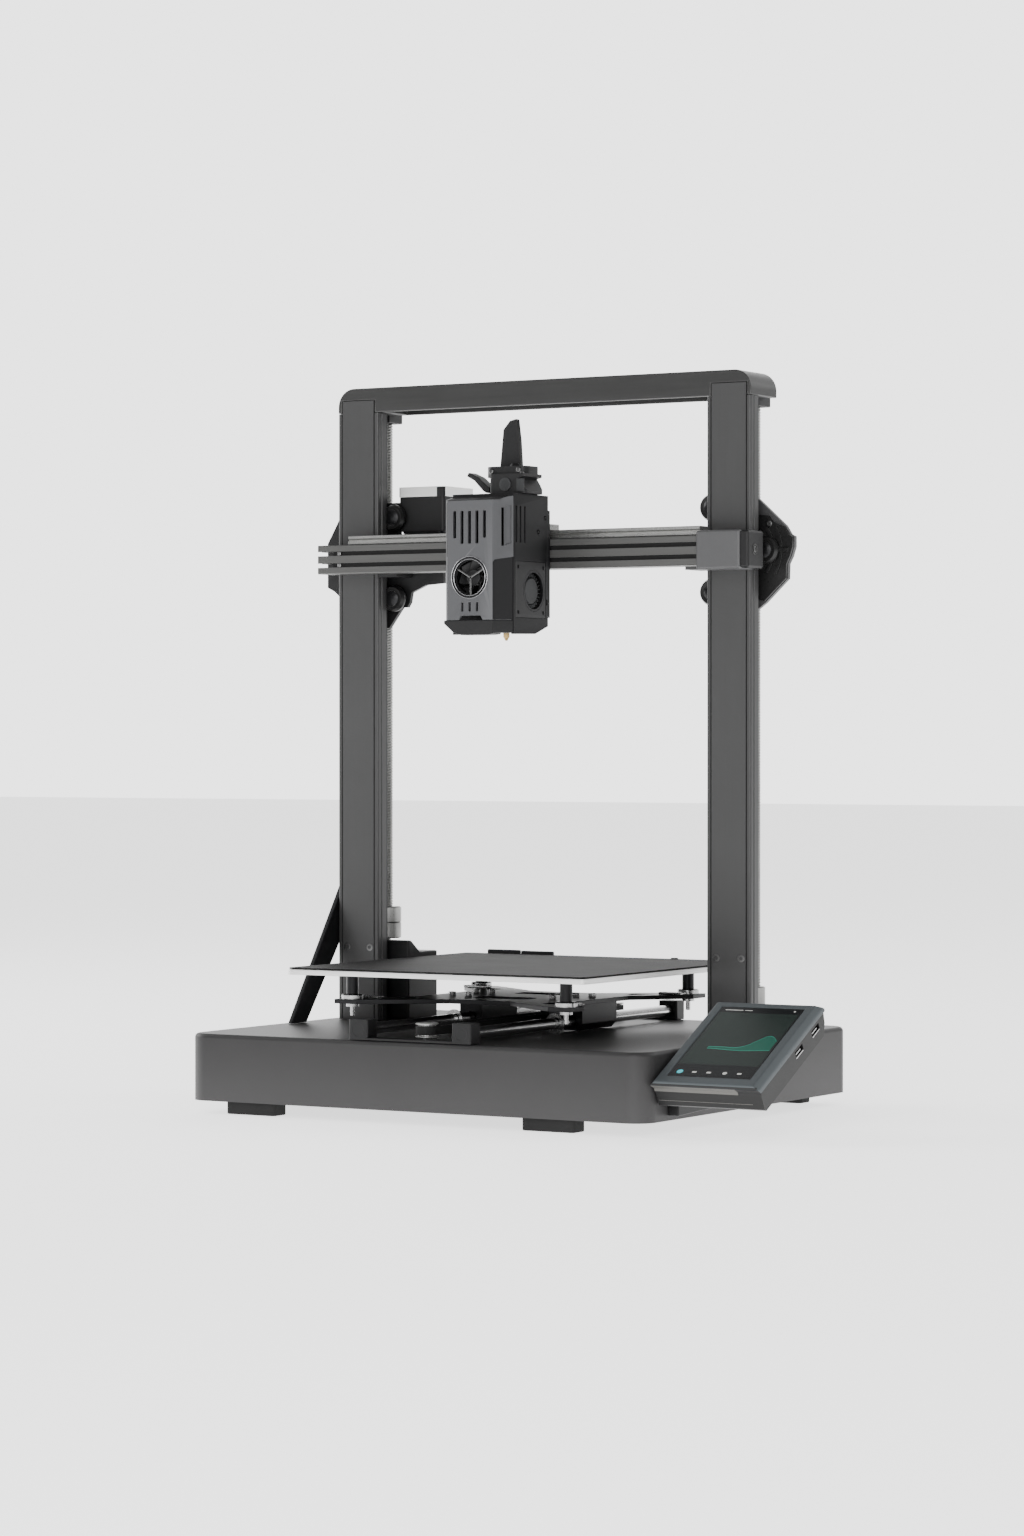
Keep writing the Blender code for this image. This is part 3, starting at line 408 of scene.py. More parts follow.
def build_base():
    low, high = spot("base_shell")
    corner, fillet, wall = 15.0, 3.0, 2.5
    shape = bmesh.new()
    prism(shape, rounded((low.x, low.y), (high.x, high.y), corner, 14), "Z", low.z, high.z)
    rim = [e for e in shape.edges if all(v.co.z > high.z - 0.1 for v in e.verts)
        and any(abs(f.normal.z) < 0.5 for f in e.link_faces)]
    bmesh.ops.bevel(shape, geom=rim, offset=fillet, segments=6, profile=0.5, affect="EDGES")
    bmesh.ops.delete(shape, geom=[f for f in shape.faces if f.normal.z < -0.9], context="FACES")
    shell = linked("base_cover", shape)
    skin = shell.modifiers.new("Wall", "SOLIDIFY")
    skin.thickness = wall * MM
    skin.offset = -1.0
    settle(shell)
    tool = bmesh.new()
    inlet_low, inlet_high = spot("power_inlet")
    block(tool, (inlet_low.x + 1.5, high.y - 8, inlet_low.z + 1.5),
        (inlet_high.x - 1.5, high.y + 4, inlet_high.z - 1.5))
    for node in ("y_motor", "z_motor_right"):
        motor = middle(node)
        rod(tool, (motor.x, motor.y, high.z), 4.0, 12.0)
    for i in range(9):
        block(tool, (-120.0 + i * 7.0, high.y - 8, 20.0), (-116.5 + i * 7.0, high.y + 4, 42.0))
        block(tool, (low.x - 4, 190.0 + i * 7.0, 20.0), (low.x + 6, 193.5 + i * 7.0, 42.0))
    carve(shell, tool)
    finish(shell, BASE_COAT, "root", ("base_shell",))

    plate_low, plate_high = spot("bottom_plate")
    tool = bmesh.new()
    for i in range(12):
        x = -60.0 + i * 9.0
        prism(tool, rounded((x, 180.0), (x + 4.0, 240.0), 1.9, 4), "Z", plate_low.z - 2, plate_high.z + 2)
    refine("bottom_plate", BLACK_METAL, 0.2, 1, tool)
    screws("bottom_screws", [(x, y, plate_low.z + 0.2) for x in (-165.0, 0.0, 165.0)
        for y in (34.0, 148.0, 262.0)], 3.2, "Z", -1.0, "root", 1.4)

    for node in ("foot_front_left", "foot_front_right", "foot_rear_left", "foot_rear_right"):
        low, high = spot(node)
        made(node + "_pad", RUBBER, "root", "rubber", (prism,
            rounded((low.x, low.y), (high.x, high.y), 3.0, 5), "Z", low.z, high.z), nodes=(node,),
            width=0.8, segments=3)


def build_inlet():
    low, high = spot("power_inlet")
    refine("power_inlet", BLACK_PLASTIC, 0.5)
    refine("power_switch", BLACK_PLASTIC, 0.5)
    socket = next(o for o in frame["record"]["physics"]["openings"] if o["name"] == "inlet_socket")
    corner = [(Vector(p) - ORIGIN) / MM for p in socket["box_m"]]
    mid = (corner[0] + corner[1]) / 2
    shape = bmesh.new()
    for dx, dz in ((-6.0, 0.0), (6.0, 0.0), (0.0, 3.0)):
        block(shape, (mid.x + dx - 0.8, high.y - 17.0, mid.z + dz - 2.0),
            (mid.x + dx + 0.8, high.y - 5.0, mid.z + dz + 2.0), 0.3, 1)
    piece("inlet_pins", shape, SCREW_STEEL, "root")
    screws("inlet_screws", [(low.x + 3.0, high.y - 0.5, low.z + 3.0),
        (high.x - 3.0, high.y - 0.5, high.z - 3.0)], 1.8, "Y", 1.0, "root", 0.5)
    switch = middle("power_switch")
    # The switch's printed ring uses the display's icon material, so it also glows; the glow is painted light.
    made("switch_mark", ICON, "power_switch", "black_plastic",
        (lathe, (switch.x, spot("power_switch")[1].y - 0.9, switch.z - 5.0),
        [(1.4, 0.25), (1.8, 0.25), (1.8, 0.0), (1.4, 0.0)], "Y", 24))


def build_electrics():
    refine("power_supply", ALUMINIUM, 0.5)
    refine("control_board", BOARD, 0.2, 1)
    refine("y_motor", BLACK_METAL, 0.6)
    refine("z_motor_right", BLACK_METAL, 0.6)


# ---------------------------------------------------------------- frame

def upright_section(centre, low, high):
    """Front face with a narrow groove near each edge, rounded corners and a V guide at the rear."""
    half, guide, step = (high.x - low.x) / 2, 12.0, low.y + 11.0
    groove, width, depth = 13.2, 0.9, 1.0
    right = [(groove, low.y), (groove, low.y + depth), (groove + width, low.y + depth),
        (groove + width, low.y)]
    right += arc(half - 1.3, low.y + 1.3, 1.3, -90, 0, 4)
    right += [(half, low.y + 4.0), (half - 0.7, low.y + 4.4), (half - 0.7, low.y + 5.2), (half, low.y + 5.6)]
    right += [(half, step), (guide, step), (guide, high.y - 7.8), (guide - 2.0, high.y - 4.5),
        (guide, high.y - 1.2), (guide, high.y), (4.0, high.y), (4.0, high.y - 3.0), (2.0, high.y - 3.0)]
    return [(centre + a, b) for a, b in right] + [(centre - a, b) for a, b in reversed(right)]


def build_frame():
    beam_low, beam_high = spot("top_beam")
    strip_top = beam_high.z - 9.0
    pocket = bmesh.new()
    for side in ("left", "right"):
        node = "upright_" + side
        low, high = spot(node)
        centre = (low.x + high.x) / 2
        made(node + "_profile", FRAME_COAT, "root", "frame_grey",
            (prism, upright_section(centre, low, high), "Z", low.z, high.z),
            (block, (centre - 13.2, low.y - 0.05, low.z), (centre + 13.2, low.y + 1.2, strip_top)),
            nodes=(node,))
        # A near-black strip sits in each groove as painted shade.
        shape = bmesh.new()
        for edge in (centre - 14.1, centre + 13.2):
            block(shape, (edge, low.y + 0.35, low.z), (edge + 0.9, low.y + 1.2, high.z))
        piece(node + "_groove_shade", shape, PAINTED_SHADE, "root")
        block(pocket, (centre - 14.0, low.y - 2, beam_low.z - 2),
            (centre + 14.0, low.y + 1.4, strip_top + 0.4))
        screws(node + "_screws", [(centre + dx, low.y + 0.3, 107.0) for dx in (-9.6, 9.6)], 2.7, "Y", -1.0,
            "root", 0.5, GREY_STEEL)

    corner = 13.0
    outline = [(beam_low.x, beam_low.z + 5.5), (beam_high.x, beam_low.z + 5.5)]
    outline += arc(beam_high.x - corner, beam_high.z - corner, corner, 0, 90, 12)
    outline += arc(beam_low.x + corner, beam_high.z - corner, corner, 90, 180, 12)
    shape = bmesh.new()
    prism(shape, outline, "Y", beam_low.y, beam_high.y - 8.6)
    beam = linked("top_beam_profile", shape)
    hollow = bmesh.new()
    block(hollow, (beam_low.x + 36.0, beam_low.y + 3.0, beam_low.z - 4),
        (beam_high.x - 36.0, beam_high.y - 11.5, beam_high.z - 3.5))
    carve(beam, hollow)
    carve(beam, pocket)
    finish(beam, TOP_COAT, "root", ("top_beam",), 0.9, 3)

    shape = bmesh.new()
    for side in (-1, 1):
        screw = middle("lead_screw_right").x * side
        y = middle("lead_screw_right").y
        block(shape, (screw - 8.0, y - 10.0, beam_low.z), (screw + 8.0, y + 8.0, beam_low.z + 9.0), 0.8)
        lathe(shape, (screw, y, beam_low.z + 1.0), [(4.4, 0.0), (7.0, 0.0), (7.0, -1.0), (4.4, -1.0)], "Z",
            32)
    piece("screw_bearings", shape, BLACK_PLASTIC, "root")
    screws("beam_screws", [(side * 160.0, beam_high.y - 9.0, beam_low.z + 12.0) for side in (-1, 1)], 2.6,
        "Y", 1.0, "root", 2.0)

    refine("brace_left", BLACK_METAL, 0.5)
    low, high = spot("brace_left")
    shape = bmesh.new()
    for y, z in ((low.y + 12.0, low.z + 5.0), (high.y - 5.0, high.z - 12.0)):
        cap_screw(shape, (low.x + 0.6, y, z), 2.4, "X", -1.0, 0.6)
    piece("brace_screws", shape, SCREW_STEEL, "root")


def build_lift():
    refine("z_motor_left", BLACK_PLASTIC, 1.2, 3)
    low, high = spot("z_motor_left")
    shape = bmesh.new()
    for z in (low.z + 12.0, low.z + 16.0, low.z + 20.0, low.z + 24.0):
        block(shape, (high.x - 0.6, low.y + 8.0, z), (high.x - 0.02, high.y - 6.0, z + 1.6), 0.2, 1)
    piece("z_motor_ribs", shape, GREY_PLASTIC, "root")
    for side in ("left", "right"):
        build_lead_screw("lead_screw_" + side)


def build_lead_screw(node):
    """A four-start thread, one turn in 8 mm, above the clamped coupler."""
    low, high = spot(node)
    x, y = (low.x + high.x) / 2, (low.y + high.y) / 2
    coupler = (high.x - low.x) / 2
    outer, depth, starts, lead, sides, rise = 4.0, 0.75, 4, 8.0, 16, 0.5
    left = node.endswith("left")
    coupler_low, coupler_high = (low.z + 8.7, low.z + 31.7) if left else (low.z + 6.3, low.z + 34.3)
    shape = bmesh.new()
    bottom, top = coupler_high - 3.0, high.z
    rows = int((top - bottom) / rise)
    rings = []
    for i in range(rows + 1):
        z = min(top, bottom + i * rise)
        ring = []
        for j in range(sides):
            angle = 2 * math.pi * j / sides
            turn = (z / lead - angle / (2 * math.pi)) * starts % 1.0
            radius = outer - depth * min(1.0, max(0.0, 2.0 - abs(turn - 0.5) * 6.0))
            ring.append(shape.verts.new((x + radius * math.cos(angle), y + radius * math.sin(angle), z)))
        rings.append(ring)
    for ring, after in zip(rings, rings[1:]):
        for j in range(sides):
            k = (j + 1) % sides
            shape.faces.new((ring[j], ring[k], after[k], after[j]))
    shape.faces.new(rings[0][::-1])
    shape.faces.new(rings[-1])
    tall = coupler_high - coupler_low
    lathe(shape, (x, y, coupler_low), [(2.2, 0.0), (coupler - 0.8, 0.0), (coupler, 0.8),
        (coupler, tall / 2 - 0.5), (coupler - 0.6, tall / 2), (coupler, tall / 2 + 0.5),
        (coupler, tall - 0.8), (coupler - 0.8, tall), (2.2, tall)], "Z", 48)
    rod(shape, (x, y, (low.z + coupler_low) / 2 + 0.5), 2.5, coupler_low - low.z + 1.0, "Z", 20)
    piece(node + "_thread", shape, THREAD_STEEL, node, (node,))


# ---------------------------------------------------------------- bed

def toothed_belt(node, axis, across, body):
    """A toothed belt round two pulleys, teeth inwards, made as one closed band."""
    low, high = spot(node)
    along = (low.x, high.x) if axis == "X" else (low.y, high.y)
    outer, back, tooth, pitch = 7.7, 0.65, 0.62, 2.0
    first, last = along[0] + outer, along[1] - outer
    straight, bend = last - first, math.pi * outer
    total = 2 * straight + 2 * bend

    def at(distance, inset):
        radius = outer - inset
        if distance < straight:
            return first + distance, -radius
        distance -= straight
        if distance < bend:
            angle = -math.pi / 2 + distance / outer
            return last + radius * math.cos(angle), radius * math.sin(angle)
        distance -= bend
        if distance < straight:
            return last - distance, radius
        angle = math.pi / 2 + (distance - straight) / outer
        return first + radius * math.cos(angle), radius * math.sin(angle)

    shape = bmesh.new()
    teeth = int(total / pitch)
    rings = []
    for i in range(teeth):
        for part, inset in ((0.0, back), (0.3, back), (0.42, back + tooth), (0.88, back + tooth)):
            distance = total * (i + part) / teeth
            ring = []
            for depth, z in ((0.0, low.z), (inset, low.z), (inset, high.z), (0.0, high.z)):
                a, b = at(distance, depth)
                ring.append(shape.verts.new((a, across + b, z) if axis == "X" else (across + b, a, z)))
            rings.append(ring)
    for i, ring in enumerate(rings):
        after = rings[(i + 1) % len(rings)]
        for j in range(4):
            k = (j + 1) % 4
            shape.faces.new((ring[j], ring[k], after[k], after[j]))
    bmesh.ops.recalc_face_normals(shape, faces=shape.faces)
    piece(node + "_teeth", shape, RUBBER, body, (node,))


def toothed_pulley(node):
    low, high = spot(node)
    x, y = (low.x + high.x) / 2, (low.y + high.y) / 2
    flange = (high.x - low.x) / 2
    belt = spot("x_belt" if node.startswith("x") else "y_belt")
    bottom, top = belt[0].z - 1.9, belt[1].z + 1.9
    shape = bmesh.new()
    for z0 in (bottom, top - 1.2):
        lathe(shape, (x, y, z0), [(2.0, 0.0), (flange - 0.5, 0.0), (flange, 0.4), (flange, 0.8),
            (flange - 0.5, 1.2), (2.0, 1.2)], "Z", 40)
    teeth, root, tip = 20, 5.4, 6.1
    outline = []
    for i in range(teeth):
        for part, radius in ((0.0, tip), (0.45, tip), (0.55, root), (0.9, root)):
            angle = 2 * math.pi * (i + part) / teeth
            outline.append((x + radius * math.cos(angle), y + radius * math.sin(angle)))
    prism(shape, outline, "Z", bottom + 1.1, top - 1.1)
    rod(shape, (x, y, (low.z + high.z) / 2), 2.5, high.z - low.z, "Z", 24, 0.2)
    piece(node + "_toothed", shape, ALUMINIUM, BODY_OF[node], (node,))


def build_bed_drive():
    for side in ("left", "right"):
        node = "y_rod_" + side
        low, high = spot(node)
        made(node + "_bar", STEEL, "root", "steel", (rod,
            ((low.x + high.x) / 2, (low.y + high.y) / 2, (low.z + high.z) / 2), 4.0, high.y - low.y, "Y",
            48, 0.5), nodes=(node,))
    for end in ("front", "rear"):
        node = "rod_holder_" + end
        refine(node, BLACK_PLASTIC, 0.6)
        low, high = spot(node)
        shape = bmesh.new()
        for side in (-1, 1):
            x = side * middle("y_rod_right").x
            cap_screw(shape, (x, (low.y + high.y) / 2, high.z - 0.6), 2.0, "Z", 1.0, 0.6)
        piece(node + "_screws", shape, SCREW_STEEL, "root")
        shape = bmesh.new()
        edge, way = (low.y, 1) if end == "front" else (high.y, -1)
        for side in (-1, 1):
            rod(shape, (side * middle("y_rod_right").x, edge + way * 1.2, middle("y_rod_right").z), 4.9,
                2.2, "Y", 36, 0.6)
        piece(node + "_caps", shape, BLACK_PLASTIC, "root")
    toothed_belt("y_belt", "Y", middle("y_belt").x, "root")
    toothed_pulley("y_drive_pulley")
    toothed_pulley("y_idler_pulley")


def build_bed():
    low, high = spot("bed_carriage")
    rods = middle("y_rod_right").x
    mid_y = (low.y + high.y) / 2
    plate_top = 77.7
    tool = bmesh.new()
    for side in (-1, 1):
        for way in (-1, 1):
            prism(tool, [(side * 52.0, mid_y + way * 62.0), (side * 72.0, mid_y + way * 71.0),
                (side * 56.0, mid_y + way * 46.0)], "Z", 70.0, 82.0)
    prism(tool, rounded((-22.0, mid_y - 34.0), (22.0, mid_y - 12.0), 6.0), "Z", 70.0, 82.0)
    prism(tool, rounded((-22.0, mid_y + 22.0), (22.0, mid_y + 40.0), 6.0), "Z", 70.0, 82.0)
    refine("bed_carriage", BLACK_METAL, 0.5, 2, tool)

    heads, tails = bmesh.new(), bmesh.new()
    posts = [(side * 85.0, mid_y + way * 85.0) for side in (-1, 1) for way in (-1, 1)]
    for x, y in posts:
        lathe(tails, (x, y, plate_top - 3.0), [(0.0, 0.0), (4.4, 0.0), (4.4, -2.2), (1.6, -2.2),
            (1.6, -8.5), (0.0, -8.5)], "Z", 24)
    for side in (-1, 1):
        for way in (-1, 1):
            lathe(heads, (side * 85.0, mid_y + way * 85.0, plate_top),
                [(4.5, 0.0), (7.6, 0.0), (7.6, 2.6), (6.8, 3.2), (4.5, 3.2)], "Z", 32)
            end_y = mid_y + way * 85.0
            block(heads, (side * 80.0 - 9.0, end_y - way * 14.0 - 4.0, plate_top - 0.1),
                (side * 80.0 + 9.0, end_y - way * 14.0 + 4.0, plate_top + 1.6), 0.4)
        for x in (side * (rods - 6.5), side * (rods + 6.5)):
            for y in (mid_y - 16.0, mid_y + 16.0):
                cap_screw(heads, (x, y, plate_top), 2.6, "Z", 1.0, 2.6)
        for y in (mid_y - 24.2, mid_y + 24.2):
            lathe(heads, (side * rods, y, 61.5), [(4.5, -0.5), (7.0, -0.5), (7.0, 0.5), (4.5, 0.5)], "Y", 32)
    piece("post_bolts", tails, SCREW_STEEL, "bed")
    piece("bush_screws", heads, SCREW_STEEL, "bed")

    low, high = spot("heated_bed")
    made("bed_plate", BED_EDGE, "bed", "aluminium",
        (prism, rounded((low.x, low.y), (high.x, high.y), 3.0, 6), "Z", low.z, high.z),
        nodes=("heated_bed",), width=0.5, segments=2)
    made("bed_heater", GREY_PLASTIC, "bed", "aluminium",
        (prism, rounded((low.x + 4.0, low.y + 4.0), (high.x - 4.0, high.y - 4.0), 3.0, 6), "Z",
        low.z - 0.12, low.z + 0.1))

    low, high = spot("build_sheet")
    outline = rounded((low.x + 0.4, low.y + 0.4), (high.x - 0.4, high.y - 0.4), 3.0, 6)
    made("print_sheet", SHEET, "bed", "build_sheet", (prism, outline, "Z", low.z, high.z),
        nodes=("build_sheet",), width=0.2, segments=1)

    made("bed_wiring_guard", BLACK_PLASTIC, "bed", "black_plastic",
        (block, (-100.0, high.y + 0.4, low.z - 3.0), (-72.5, high.y + 3.2, 102.6), 0.8),
        (block, (-71.5, high.y + 0.4, low.z - 3.0), (-44.5, high.y + 3.2, 102.2), 0.8),
        (block, (-98.0, high.y - 16.0, low.z - 9.5), (-46.0, high.y + 3.2, low.z - 4.6), 1.0),
        (block, (-98.0, high.y + 0.6, low.z - 9.0), (-46.0, high.y + 3.2, low.z - 2.0), 0.8),
        (rod, (57.9, high.y - 3.0, high.z + 0.4), 2.6, 0.9, "Z", 24, 0.2))


# ---------------------------------------------------------------- gantry

def build_beam():
    low, high = spot("x_beam")
    y0, z0 = low.y, low.z
    section = [(y0, z0 + 0.6), (y0 + 0.6, z0)]
    section += [(high.y - 8.0, z0), (high.y - 8.0, z0 + 1.6), (high.y - 6.0, z0 + 1.6), (high.y - 6.0, z0),
        (high.y, z0), (high.y, z0 + 7.0), (high.y - 5.0, z0 + 7.0), (high.y - 5.0, high.z - 7.0),
        (high.y, high.z - 7.0), (high.y, high.z), (y0 + 0.6, high.z), (y0, high.z - 0.6)]
    for slot_low in (z0 + 12.9, z0 + 4.6):
        section += [(y0, slot_low + 3.0), (y0 + 1.6, slot_low + 3.0), (y0 + 1.6, slot_low + 3.6),
            (y0 + 5.0, slot_low + 3.6), (y0 + 5.0, slot_low - 0.6), (y0 + 1.6, slot_low - 0.6),
            (y0 + 1.6, slot_low), (y0, slot_low)]
    shape = bmesh.new()
    prism(shape, section, "X", low.x, high.x)
    beam = linked("x_beam_profile", shape)
    tool = bmesh.new()
    for slot_low in (z0 + 12.9, z0 + 4.6):
        block(tool, (low.x - 2, y0 - 2, slot_low + 0.1), (low.x + 10.5, high.y + 2, slot_low + 2.9))
    carve(beam, tool)
    finish(beam, BEAM_COAT, "gantry", ("x_beam",))
    # A near-black block fills each T-slot as painted shade inside it.
    shape = bmesh.new()
    for slot_low in (z0 + 12.9, z0 + 4.6):
        block(shape, (low.x + 12.0, y0 + 1.8, slot_low - 0.5), (high.x - 0.5, y0 + 4.9, slot_low + 3.5))
    piece("beam_slot_shade", shape, PAINTED_SHADE, "gantry")
    shape = bmesh.new()
    for z in (z0 + 6.1, z0 + 14.4):
        block(shape, (low.x + 16.0, y0 + 0.8, z - 1.3), (low.x + 19.0, y0 + 1.8, z + 1.3), 0.2, 1)
    piece("beam_slot_nuts", shape, SCREW_STEEL, "gantry")

    low, high = spot("x_rail")
    width = high.y - low.y
    section = [(low.y + 0.4, low.z), (high.y - 0.4, low.z), (high.y, low.z + 0.4), (high.y, low.z + 2.2),
        (high.y - 1.2, low.z + 3.2), (high.y, low.z + 4.2), (high.y, high.z - 0.4), (high.y - 0.4, high.z),
        (low.y + 0.4, high.z), (low.y, high.z - 0.4), (low.y, low.z + 4.2), (low.y + 1.2, low.z + 3.2),
        (low.y, low.z + 2.2), (low.y, low.z + 0.4)]
    shape = bmesh.new()
    prism(shape, section, "X", low.x, high.x)
    rail = linked("x_rail_ground", shape)
    tool = bmesh.new()
    count = 11
    for i in range(count):
        x = low.x + 12.5 + i * 25.0
        rod(tool, (x, low.y + width / 2, high.z), 3.0, 7.0, "Z", 20)
    carve(rail, tool)
    finish(rail, RAIL_STEEL, "gantry", ("x_rail",))
    screws("rail_screws", [(low.x + 12.5 + i * 25.0, low.y + width / 2, high.z - 3.4)
        for i in range(count)], 2.6, "Z", 1.0, "gantry", 2.2)


def build_end_cover():
    low, high = spot("beam_end_cover")
    rear = low.y + 9.0
    tool = bmesh.new()
    block(tool, (low.x - 5, spot("x_beam")[0].y - 0.3, spot("x_beam")[0].z - 0.3),
        (spot("x_beam")[1].x + 0.3, high.y + 5, spot("x_beam")[1].z + 0.3))
    shape = bmesh.new()
    block(shape, low, (high.x - 7.0, high.y, high.z), 1.8, 4)
    cover = linked("end_cover_front", shape)
    carve(cover, tool)
    finish(cover, COVER_DARK, "gantry", ("beam_end_cover",))
    made("end_cover_cap", BLACK_PLASTIC, "gantry", "cover_grey",
        (block, (high.x - 7.6, low.y + 0.5, low.z + 0.5), (high.x - 0.6, high.y, high.z - 0.4), 1.8, 4))
    shape = bmesh.new()
    mid = Vector((high.x - 0.7, rear + 1.0, (low.z + high.z) / 2))
    cap_screw(shape, mid, 2.2, "X", 1.0, 0.6)
    lathe(shape, mid, [(3.1, 0.0), (3.7, 0.0), (3.7, 0.35), (3.1, 0.35)], "X", 36)
    piece("end_cover_screws", shape, GREY_STEEL, "gantry")


def build_wheels():
    axles = bmesh.new()
    bolts = bmesh.new()
    for side in ("left", "right"):
        for place in ("upper", "lower", "outer"):
            node = "wheel_%s_%s" % (side, place)
            low, high = spot(node)
            centre = (low + high) / 2
            radius, half = (high.x - low.x) / 2, (high.y - low.y) / 2
            shape = bmesh.new()
            tyre = [(5.6, -half + 0.3), (7.4, -half), (8.1, -half), (radius - 0.2, -1.2), (radius, -0.6),
                (radius, 0.6), (radius - 0.2, 1.2), (8.1, half), (7.4, half), (5.6, half - 0.3)]
            lathe(shape, centre, tyre, "Y", 56)
            piece(node + "_tyre", shape, WHEEL_BLACK, node, (node,))
            made(node + "_bearing", SCREW_STEEL, node, "steel",
                (lathe, centre, [(4.6, -2.8), (5.6, -2.8), (5.6, 2.8), (4.6, 2.8)], "Y", 40),
                (lathe, centre, [(2.6, -2.6), (3.4, -2.6), (3.4, 2.6), (2.6, 2.6)], "Y", 40),
                (lathe, centre, [(3.3, -2.0), (4.7, -2.0), (4.7, 2.0), (3.3, 2.0)], "Y", 40))
            rod(axles, (centre.x, high.y - 1.6, centre.z), 1.8, 7.0, "Y", 20)
            lathe(bolts, (centre.x, low.y + 0.6, centre.z),
                [(0.0, 0.0), (5.4, 0.0), (5.4, -0.5), (3.4, -1.6), (0.0, -2.0)], "Y", 32)
    piece("wheel_axles", axles, SCREW_STEEL, "gantry")
    piece("wheel_bolts", bolts, BLACK_METAL, "gantry")


def build_brackets():
    refine("gantry_bracket_left", BLACK_PLASTIC, 0.8, 3)
    refine("gantry_bracket_right", BRACKET_GREY, 0.6, 2)
    face = 191.0
    ridge = bmesh.new()
    outline = [(160.5, 409.5), (171.0, 408.4), (174.5, 404.0), (183.0, 400.6), (186.7, 395.2),
        (189.6, 393.9), (189.6, 387.2), (187.6, 380.7), (184.9, 375.5), (184.6, 365.6), (168.0, 350.2),
        (160.5, 352.0)]
    prism(ridge, outline, "Y", face - 2.2, face + 0.2)
    for k in range(3):
        reach, sweep = 18.0 + k * 5.6, 44.0 - k * 6.0
        band = arc(151.0, 385.0, reach + 2.2, -sweep, sweep, 14) + arc(151.0, 385.0, reach, sweep, -sweep, 14)
        prism(ridge, band, "Y", face - 5.2 + k * 0.9, face - 2.0)
    block(ridge, (163.0, face - 4.0, 383.6), (187.0, face - 2.0, 386.4), 0.4)
    piece("bracket_cover_right", ridge, WHEEL_BLACK, "gantry", width=0.4)
    screws("bracket_screws_right", [(172.0, face - 2.2, 403.0), (174.0, face - 0.2, 361.0)], 2.2, "Y", -1.0,
        "gantry", 1.2, GREY_STEEL)
    shape = bmesh.new()
    for side in (-1, 1):
        for x, z in ((134.0, 360.0), (146.0, 416.0), (165.0, 362.0)):
            cap_screw(shape, (side * x, 194.4, z), 2.6, "Y", 1.0, 2.2)
        screw = middle("lead_screw_right")
        lathe(shape, (side * screw.x, screw.y, 362.0), [(4.5, 0.0), (9.0, 0.0), (9.0, -2.0), (4.5, -2.0)],
            "Z", 36)
    piece("bracket_screws_rear", shape, SCREW_STEEL, "gantry")


def build_motor():
    low, high = spot("x_motor")
    split = high.z - 7.2
    made("x_motor_body", BLACK_METAL, "gantry", "black_metal",
        (prism, rounded((low.x + 0.3, low.y + 0.3), (high.x - 0.3, high.y - 0.3), 4.0, 5), "Z", low.z,
        split), nodes=("x_motor",), width=0.3, segments=1)
    made("x_motor_cap", BED_EDGE, "gantry", "aluminium",
        (prism, rounded((low.x - 0.3, low.y - 3.0), (high.x + 4.0, high.y + 3.0), 2.5, 5), "Z", split,
        high.z), width=0.5, segments=2)
    screws("x_motor_screws", [((low.x + high.x) / 2 + a * 13.0, (low.y + high.y) / 2 + b * 13.0,
        high.z - 1.2) for a in (-1, 1) for b in (-1, 1)], 2.0, "Z", 1.0, "gantry", 1.2)
    made("x_motor_jacket", BLACK_PLASTIC, "gantry", "black_metal",
        (prism, rounded((low.x, low.y - 2.4), (high.x + 3.4, high.y + 2.4), 2.5, 5), "Z", 405.0,
        split - 0.1), (prism, [(high.x - 2.4, low.y - 3.1), (high.x + 2.6, low.y - 3.1),
        (high.x + 4.15, low.y - 1.6), (high.x - 2.4, low.y - 1.0)], "Z", split - 0.1, high.z - 0.4),
        width=0.2)
    toothed_pulley("x_drive_pulley")
    toothed_pulley("x_idler_pulley")
    toothed_belt("x_belt", "X", middle("x_belt").y, "gantry")


# ---------------------------------------------------------------- head

